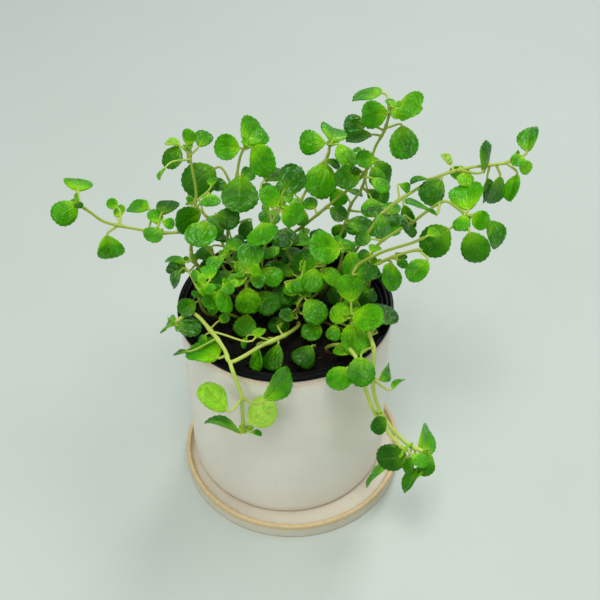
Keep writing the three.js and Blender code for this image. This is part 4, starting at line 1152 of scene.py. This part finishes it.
def stem_curve(route, kind):
    """The smooth middle line of a stem, which starts upright below the top of the soil."""
    if kind == "branch":
        return smooth_curve(route)
    x, y, z = route[0]
    return smooth_curve([[x, y, z - FOOT_DEPTH], [x, y, z + 1], *route[1:]])


def stem_radii(curve, leaves, foot, tip):
    """Thinner towards the tip, with a swelling at each leaf."""
    plain = np.linspace(foot, tip, len(curve))
    radii = plain
    for place in leaves:
        gaps = np.linalg.norm(curve - place["root"], axis=1)
        radii = np.maximum(radii, plain * (1 + JOINT_SWELLING * np.exp(-(gaps / JOINT_REACH) ** 2)))
    radii[-1] *= 0.6
    return radii


def stem_tones(curve, fresh):
    """A number for each point of the tube and its two ends: dark at the foot, partly as old stem and partly
    as painted shade, fresh higher up.
    """
    run = np.append(0, np.cumsum(np.linalg.norm(np.diff(curve, axis=0), axis=1)))
    tones = fresh - DARKEST * np.clip(1 - run / DARK_RUN, 0, 1)
    return [*np.repeat(tones, STEM_SIDES), tones[0], tones[-1]]


print("stems can be drawn")

# %% [markdown]
# ## Leaf blades
# A blade here is round to egg-shaped with a wedge at its base, a scalloped edge, a sunken
# midrib and side veins that sweep forward, and between the veins it puffs up like a quilt.
# A plain grid can't follow that, so the rows of this mesh are the side veins themselves:
# each runs from the midrib to one point of the edge, and four rows make one scallop. The
# blade is a closed thin plate, so it has a true edge and a separate underside.

# %% Lay out the grid of a blade
ACROSS = np.array((0, 0.06, 0.15, 0.33, 0.56, 0.8, 1.0))
BLADE_THICKNESS = 0.38
BLADE_ARCH = 0.16
ROWS_PER_SCALLOP = 4
PLAIN_ROWS = 8
SCALLOPS_PER_VEIN = 2


def blade_layout(scallops):
    """The grid numbers of both halves of a blade, its faces, and which face has which finish."""
    rows = ROWS_PER_SCALLOP * scallops + PLAIN_ROWS
    columns = len(ACROSS)
    right = np.arange((rows + 1) * columns).reshape(rows + 1, columns)
    left = right.copy()
    left[:rows, 1:] = right.size + np.arange(rows * (columns - 1)).reshape(rows, columns - 1)
    count = right.size + rows * (columns - 1)
    top = []
    for k in range(rows):
        for j in range(columns - 1):
            top.append([right[k, j], right[k, j + 1], right[k + 1, j + 1], right[k + 1, j]])
            if k == rows - 1 and j == 0:
                top.append([left[k, 0], left[k + 1, 0], left[k + 1, 1], left[k, 1]])
            else:
                top.append([left[k, j], left[k + 1, j], left[k + 1, j + 1], left[k, j + 1]])
    under = [[c + count for c in reversed(face)] for face in top]
    rim = [*right[:, -1], *left[rows - 1::-1, -1], *left[0, -2:0:-1], right[0, 0], *right[0, 1:-1]]
    edge = [[a + count, b + count, b, a] for a, b in zip(rim, [*rim[1:], rim[0]])]
    faces = [[int(c) for c in face] for face in top + under + edge]
    return right, left, faces, [BLADE] * len(top) + [UNDERSIDE] * len(under) + [BLADE] * len(edge)


LAYOUTS = {scallops: blade_layout(scallops) for scallops in (3, 5, 7, 8)}
print("a large blade has", len(LAYOUTS[8][2]), "faces")

# %% Shape a blade
def scallops_for(width):
    """How many scallops each half of a blade has."""
    return 3 if width < 4.5 else 5 if width < 8 else 7 if width < 11.5 else 8


def blade_shape(width, length, fold, scallops, egg, dice):
    """Points (along, sideways, up) and vein numbers for the right half of a blade, row by row."""
    # The outline: an egg with a wedge at its base, where it is as wide as the stalk, and scallops
    rows = ROWS_PER_SCALLOP * scallops + PLAIN_ROWS
    row = np.arange(rows + 1)
    turn = np.pi * row / rows
    edge_x = (1 - np.cos(turn)) / 2
    edge_y = 0.49 * np.sin(turn) * (1 - egg * np.cos(turn)) * (1 - 0.35 * np.exp(-edge_x / 0.12))
    edge_y = edge_y * dice.uniform(0.96, 1.08)
    edge_y = edge_y + 0.3 / width * (1 - edge_x) ** 8
    tooth = (row - PLAIN_ROWS) / ROWS_PER_SCALLOP + 0.5
    scallop = 1 + 0.05 * (np.abs(np.sin(np.pi * tooth)) - 0.65) * (tooth > -0.4)
    vein = tooth / SCALLOPS_PER_VEIN
    quilt = np.abs(np.sin(np.pi * vein))
    edge_x = 0.5 + (edge_x - 0.5) * scallop
    edge_y = edge_y * scallop
    rib_x = 0.8 * np.clip(edge_x, 0, 1) ** 1.6

    # The face: folded at the midrib, arched along it and quilted, with a wavy, turned-down edge
    c = ACROSS[None, :]
    x = (rib_x[:, None] + (edge_x - rib_x)[:, None] * c ** 1.25) * length
    y = edge_y[:, None] * c * width / math.hypot(1, fold)
    soft = 0.08 * width
    lift = fold * (np.sqrt(y * y + soft * soft) - soft) - BLADE_ARCH * x * x / length
    puff = quilt[:, None] * (c ** 0.6) * (1 - c) ** 0.5 * (1 - 0.5 * np.exp(-x / (0.15 * length)))
    lift = lift + dice.uniform(0.01, 0.03) * width * puff
    lift = lift - 0.017 * width * np.exp(-(c / 0.12) ** 2) * (1 - 0.6 * x / length)
    lift = lift - dice.uniform(0.0, 0.09) * width * c ** 4
    wave = np.sin(2 * math.pi * (dice.uniform(1.2, 2.4) * row[:, None] / rows + dice.random()))
    lift = lift + dice.uniform(0.01, 0.035) * width * c ** 2 * wave
    return x, y, lift, np.broadcast_to(vein[:, None], x.shape), np.broadcast_to(c, x.shape)


print("a blade 10 mm wide has", scallops_for(10), "scallops on each half")

# %% Add blades and stalks
def add_blade(bundle, place, tone, dice):
    """Adds one blade to a bundle."""
    width, length = place["width"], place["length"]
    scallops = scallops_for(width)
    right, left, faces, finishes = LAYOUTS[scallops]
    count = left.max() + 1
    flat = np.zeros((count, 3))
    veins = np.zeros((count, 3))
    twist = dice.uniform(-0.08, 0.08)
    egg = dice.uniform(0.02, 0.34)
    for grid, hand in ((right, -1), (left, 1)):
        x, y, lift, vein, across = blade_shape(width, length, place["fold"], scallops, egg, dice)
        keep = np.ones(grid.shape, dtype=bool)
        if hand == 1:
            keep[:, 0] = False
            keep[-1] = False
        lift = lift + twist * hand * y * x / length
        flat[grid[keep]] = np.stack((x[keep], hand * y[keep], lift[keep]), axis=1)
        veins[grid[keep]] = np.stack((vein[keep], across[keep], x[keep] / length), axis=1)
    axes = np.array((place["along"], place["side"], place["normal"]))
    half = np.array((0, 0, BLADE_THICKNESS / 2))
    points = np.concatenate(((flat + half) @ axes, (flat - half) @ axes)) + place["base"]
    bundle.add(points, faces, finishes, np.concatenate((veins, veins)).tolist(), tone)


def add_stalk(bundle, place, curve, tone):
    """A thin round stalk from the stem to the blade, which goes on as the rib under the blade."""
    root = curve[np.argmin(np.linalg.norm(curve - place["root"], axis=1))]
    base, along, normal, length = place["base"], place["along"], place["normal"], place["length"]
    reach = np.linalg.norm(base - root)
    handles = (root, root + place["stalk"] * reach * 0.4, base - along * reach * 0.3, base)
    line = []
    for t in np.linspace(0, 1, 8):
        weights = ((1 - t) ** 3, 3 * t * (1 - t) ** 2, 3 * t * t * (1 - t), t ** 3)
        line.append(sum(weight * handle for weight, handle in zip(weights, handles)))
    thick = 0.26 + 0.014 * place["width"]
    radii = list(np.linspace(thick * 1.25, thick, 8))
    radii[0] = thick * 1.6
    for share, size in ((0.1, 0.7), (0.25, 0.5), (0.45, 0.32), (0.62, 0.2)):
        x = share * length
        depth = BLADE_ARCH * x * x / length + 0.02 * place["width"] + 0.12
        line.append(base + along * x - normal * depth)
        radii.append(thick * size)
    bundle.add_rod(line, radii, tone, STALK_SIDES)


print("blades and stalks can be added")

# %% [markdown]
# ## Leaf finishes
# The blades shine a little, are lime at their base and when young, and grow dark with age.
# The finish reads two things that each point of the mesh carries: its place between the
# veins, and how young the leaf is. A pale midrib and fine side veins come from the first, the
# hue from the second, and soft noise breaks both up so that no two leaves look printed. On
# some leaves a pale mint highlight is painted on the raised cells, and painted shade darkens
# the grooves between cells.

# %% Choose the greens
OLD_GREEN = srgb(27, 86, 0)
GREEN = srgb(74, 162, 0)
LIME = srgb(142, 216, 8)
PALE_LIME = srgb(182, 214, 92)
YOUNG_BASE = srgb(152, 224, 14)
# The pale mint of the painted highlight on the leaves.
MINT_HIGHLIGHT = srgb(150, 214, 150)
SAP = {"Subsurface_Scale": 0.002, "Subsurface_Radius": (0.5, 1.0, 0.05)}
print("greens from old to young:", [[round(c, 2) for c in green[:3]] for green in (OLD_GREEN, GREEN, LIME)])

# %% Mix the upper face of a leaf
def leaf_face():
    finish = Finish(
        "leaf_face", Specular_IOR_Level=0.33, Specular_Tint=(0.75, 1.0, 0.5, 1.0),
        Subsurface_Weight=0.3, **SAP,
    )
    vein = finish.node("ShaderNodeAttribute", "Vector", attribute_name="vein")
    split = finish.node("ShaderNodeSeparateXYZ", "X", {"Vector": vein}).node
    number, across, length = (split.outputs[axis] for axis in "XYZ")
    tone = finish.node("ShaderNodeAttribute", "Fac", attribute_name="tone")

    aged = finish.mix(finish.between(tone, 0.0, 0.5), OLD_GREEN, GREEN)
    aged = finish.mix(finish.between(tone, 0.5, 0.95), aged, LIME)
    cloud = finish.noise(0.28, 3)
    aged = finish.mix(finish.between(cloud, 0.4, 0.7, 0.0, 0.4), aged, darker(OLD_GREEN, 0.6))
    near_base = finish.between(length, 0.0, 0.55, 1.0, 0.0)
    young_base = finish.times(near_base, finish.between(tone, 0.05, 0.6, 0.25, 1.0))
    aged = finish.mix(young_base, aged, YOUNG_BASE)
    aged = finish.mix(finish.between(tone, 0.76, 0.98), aged, PALE_LIME)
    contrast = finish.between(tone, 0.0, 0.5, 0.45, 1.0)
    midrib = finish.between(across, 0.0, 0.09, 1.0, 0.0)
    midrib = finish.times(midrib, finish.between(length, 0.1, 0.9, 0.5, 0.05))
    aged = finish.mix(finish.times(midrib, contrast), aged, srgb(150, 206, 30))
    off_middle = finish.maths("SUBTRACT", finish.maths("FRACT", number), 0.5)
    side_vein = finish.between(finish.maths("ABSOLUTE", off_middle), 0.4, 0.5)
    side_vein = finish.times(side_vein, finish.between(across, 0.3, 0.95, 1.0, 0.0))
    side_vein = finish.times(side_vein, contrast)
    aged = finish.mix(finish.times(side_vein, 0.2), aged, srgb(120, 190, 10))

    own = finish.times(tone, 41.0)
    own_chance = finish.maths("FRACT", own)
    around = {"X": finish.times(number, 1.3), "Y": finish.times(across, 5.4), "Z": own}
    around = finish.node("ShaderNodeCombineXYZ", 0, around)
    inputs = {"Vector": around, "Scale": 1.0, "Smoothness": 0.5}
    pucker = finish.node("ShaderNodeTexVoronoi", "Distance", inputs, feature="SMOOTH_F1")
    crest = finish.between(pucker, 0.1, 0.75, 1.0, 0.0)
    # Painted shade: the grooves between the raised cells are darkened.
    painted_groove_shade = finish.between(crest, 0.0, 0.45, 0.12, 0.0)
    aged = finish.mix(painted_groove_shade, aged, darker(OLD_GREEN, 0.5))
    fine = finish.noise(2.2, 3)
    patch = finish.maths("ADD", finish.noise(0.35, 2), finish.times(fine, 0.3))
    # Painted highlight: a pale mint sheen on the raised cells of some leaves, in place of glints from the
    # lamps.
    painted_highlight = finish.times(finish.between(crest, 0.35, 0.8), finish.between(patch, 0.5, 0.75))
    painted_highlight = finish.times(painted_highlight, finish.between(own_chance, 0.6, 0.95, 0.0, 0.42))
    finish.colour(finish.mix(painted_highlight, aged, MINT_HIGHLIGHT))

    finish.roughness(finish.between(patch, 0.45, 0.85, 0.16, 0.38))
    relief = finish.times(crest, finish.between(own_chance, 0.0, 1.0, 0.25, 1.0))
    relief = finish.maths("ADD", relief, finish.times(fine, 0.25))
    relief = finish.maths("SUBTRACT", relief, finish.times(side_vein, 0.5))
    finish.bump(relief, 0.36)
    return finish.material


plant_finishes = [leaf_face()]
print("the upper face has", len(plant_finishes[0].node_tree.nodes), "nodes")

# %% Mix the underside and the stem's skin
def leaf_underside():
    finish = Finish(
        "leaf_underside", Specular_IOR_Level=0.25, Specular_Tint=(0.8, 1.0, 0.6, 1.0),
        Subsurface_Weight=0.3, **SAP,
    )
    tone = finish.node("ShaderNodeAttribute", "Fac", attribute_name="tone")
    cloud = finish.noise(0.5, 3)
    pale = finish.mix(finish.between(tone, 0.1, 1.0), srgb(92, 158, 20), srgb(172, 214, 50))
    finish.colour(finish.mix(finish.between(cloud, 0.35, 0.7, 0.0, 0.4), pale, srgb(70, 138, 10)))
    finish.roughness(finish.between(cloud, 0.3, 0.7, 0.5, 0.62))
    finish.bump(finish.noise(1.5, 3), 0.12)
    return finish.material


def stem_skin():
    finish = Finish(
        "stem_skin", Specular_IOR_Level=0.35, Specular_Tint=(0.9, 1.0, 0.7, 1.0),
        Subsurface_Weight=0.2, **SAP,
    )
    tone = finish.node("ShaderNodeAttribute", "Fac", attribute_name="tone")
    streak = finish.noise(0.35, 4)
    fresh = finish.mix(finish.between(tone, 0.0, 1.0), srgb(153, 174, 56), srgb(194, 214, 102))
    # The dark olive foot is partly the colour of old stem and partly painted shade among the leaves and
    # inside the pot.
    fresh = finish.mix(finish.between(tone, -0.8, 0.0, 1.0, 0.0), fresh, srgb(66, 74, 22))
    finish.colour(finish.mix(finish.between(streak, 0.5, 0.8, 0.0, 0.25), fresh, srgb(160, 150, 60)))
    finish.roughness(finish.between(streak, 0.3, 0.7, 0.36, 0.5))
    finish.bump(finish.noise(1.2, 3), 0.1)
    return finish.material


plant_finishes += [leaf_underside(), stem_skin()]
print([finish.name for finish in plant_finishes])

# %% [markdown]
# ## Growing the shoots
# Now the parts come together, stem by stem. Where the plan doesn't say how young a leaf is,
# its place on the stem does: near the tip it is young and lime, low down it is old and dark,
# and on two stems every leaf is a little younger. Tiny folded leaves close most tips.

# %% Say how young a leaf is and close a tip
YOUNGER = {"stem_drop_outer": 0.1, "stem_far_left": 0.08}
BUD_FOLD = 0.25
BUD_PER_WIDTH = 1.25


def leaf_youth(place, node, dice):
    """0 for an old dark leaf, 1 for the youngest lime one, from its place on the stem."""
    young = 0.25 + 0.3 * max(place["share"] - 0.5, 0) / 0.5 + dice.uniform(-0.24, 0.22)
    young += 0.12 * (place["width"] < 7)
    return min(max(young + YOUNGER.get(node, 0), 0.02), 1.0)


def add_tip(bundle, curve, dice):
    """Two pairs of tiny young leaves round the tip of a shoot."""
    along = unit(curve[-1] - curve[-4])
    across = unit(np.cross(along, (0.3, 0.2, 1.0)))
    start = dice.uniform(0, math.pi)
    for leaf in range(4):
        angle = start + math.pi / 2 * leaf
        out = across * math.cos(angle) + np.cross(along, across) * math.sin(angle)
        lean = math.radians(dice.uniform(30, 60))
        forward = along * math.cos(lean) + out * math.sin(lean)
        width = dice.uniform(2.2, 3.6) if leaf % 2 == 0 else dice.uniform(1.6, 2.4)
        side = unit(np.cross(along, out))
        place = {
            "base": curve[-1] + out * 0.3, "along": forward, "side": side,
            "normal": np.cross(forward, side),
            "width": width, "length": width * BUD_PER_WIDTH, "fold": BUD_FOLD,
        }
        if place["normal"] @ along < 0:
            place["side"], place["normal"] = -place["side"], -place["normal"]
        add_blade(bundle, place, dice.uniform(0.6, 0.85), dice)


print("shoots can be grown")

# %% Grow every stem
BARE_TIPS = ("stem_front_low", "stem_right_low", "stem_right_under", "stem_right_tall")
SHOOT_SEED = 100
LEAF_SEED = 1000
bundles = {node: Bundle() for node in STEMS}
for shoot_number, (node, route, _, kind) in enumerate(shoots):
    bundle = bundles[node]
    dice = random.Random(SHOOT_SEED + shoot_number)
    curve = stem_curve(route, kind)
    grown = leaf_places[shoot_number]
    foot, tip = (STOUT_FOOT, STOUT_TIP) if node in STOUT_STEMS else (FOOT_RADIUS, TIP_RADIUS)
    fresh = dice.uniform(0.1, 0.5) + 0.6 * (node in STOUT_STEMS)
    bundle.add_rod(curve, stem_radii(curve, grown, tip if kind == "branch" else foot, tip),
                   fresh if kind == "branch" else stem_tones(curve, fresh))
    for place in grown:
        leaf_dice = random.Random(LEAF_SEED + place["number"])
        youth = leaf_youth(place, node, leaf_dice) if place["youth"] is None else place["youth"]
        add_stalk(bundle, place, curve, 0.2 + 0.7 * youth)
        add_blade(bundle, place, youth, leaf_dice)
    if node not in BARE_TIPS:
        add_tip(bundle, curve, dice)
print(len(bundles), "bundles hold", sum(len(bundle.points) for bundle in bundles.values()), "points")

# %% Turn each bundle into a piece
total = 0
room_low, room_high = np.array(cad_low) / MM, np.array(cad_high) / MM
for node, bundle in bundles.items():
    points = np.clip(bundle.points, room_low, room_high)
    name = node.replace("stem_", "shoot_")
    piece = make_piece(name, points, bundle.faces, plant_finishes, bundle.finishes, sharp=60)
    vein = piece.data.attributes.new("vein", "FLOAT_VECTOR", "POINT")
    vein.data.foreach_set("vector", np.asarray(bundle.veins, dtype=np.float32).ravel())
    set_shades(piece, "tone", bundle.tones)
    hand_over(piece, node)
    total += sum(len(face) - 2 for face in bundle.faces)
print("the plant has", total, "triangles")
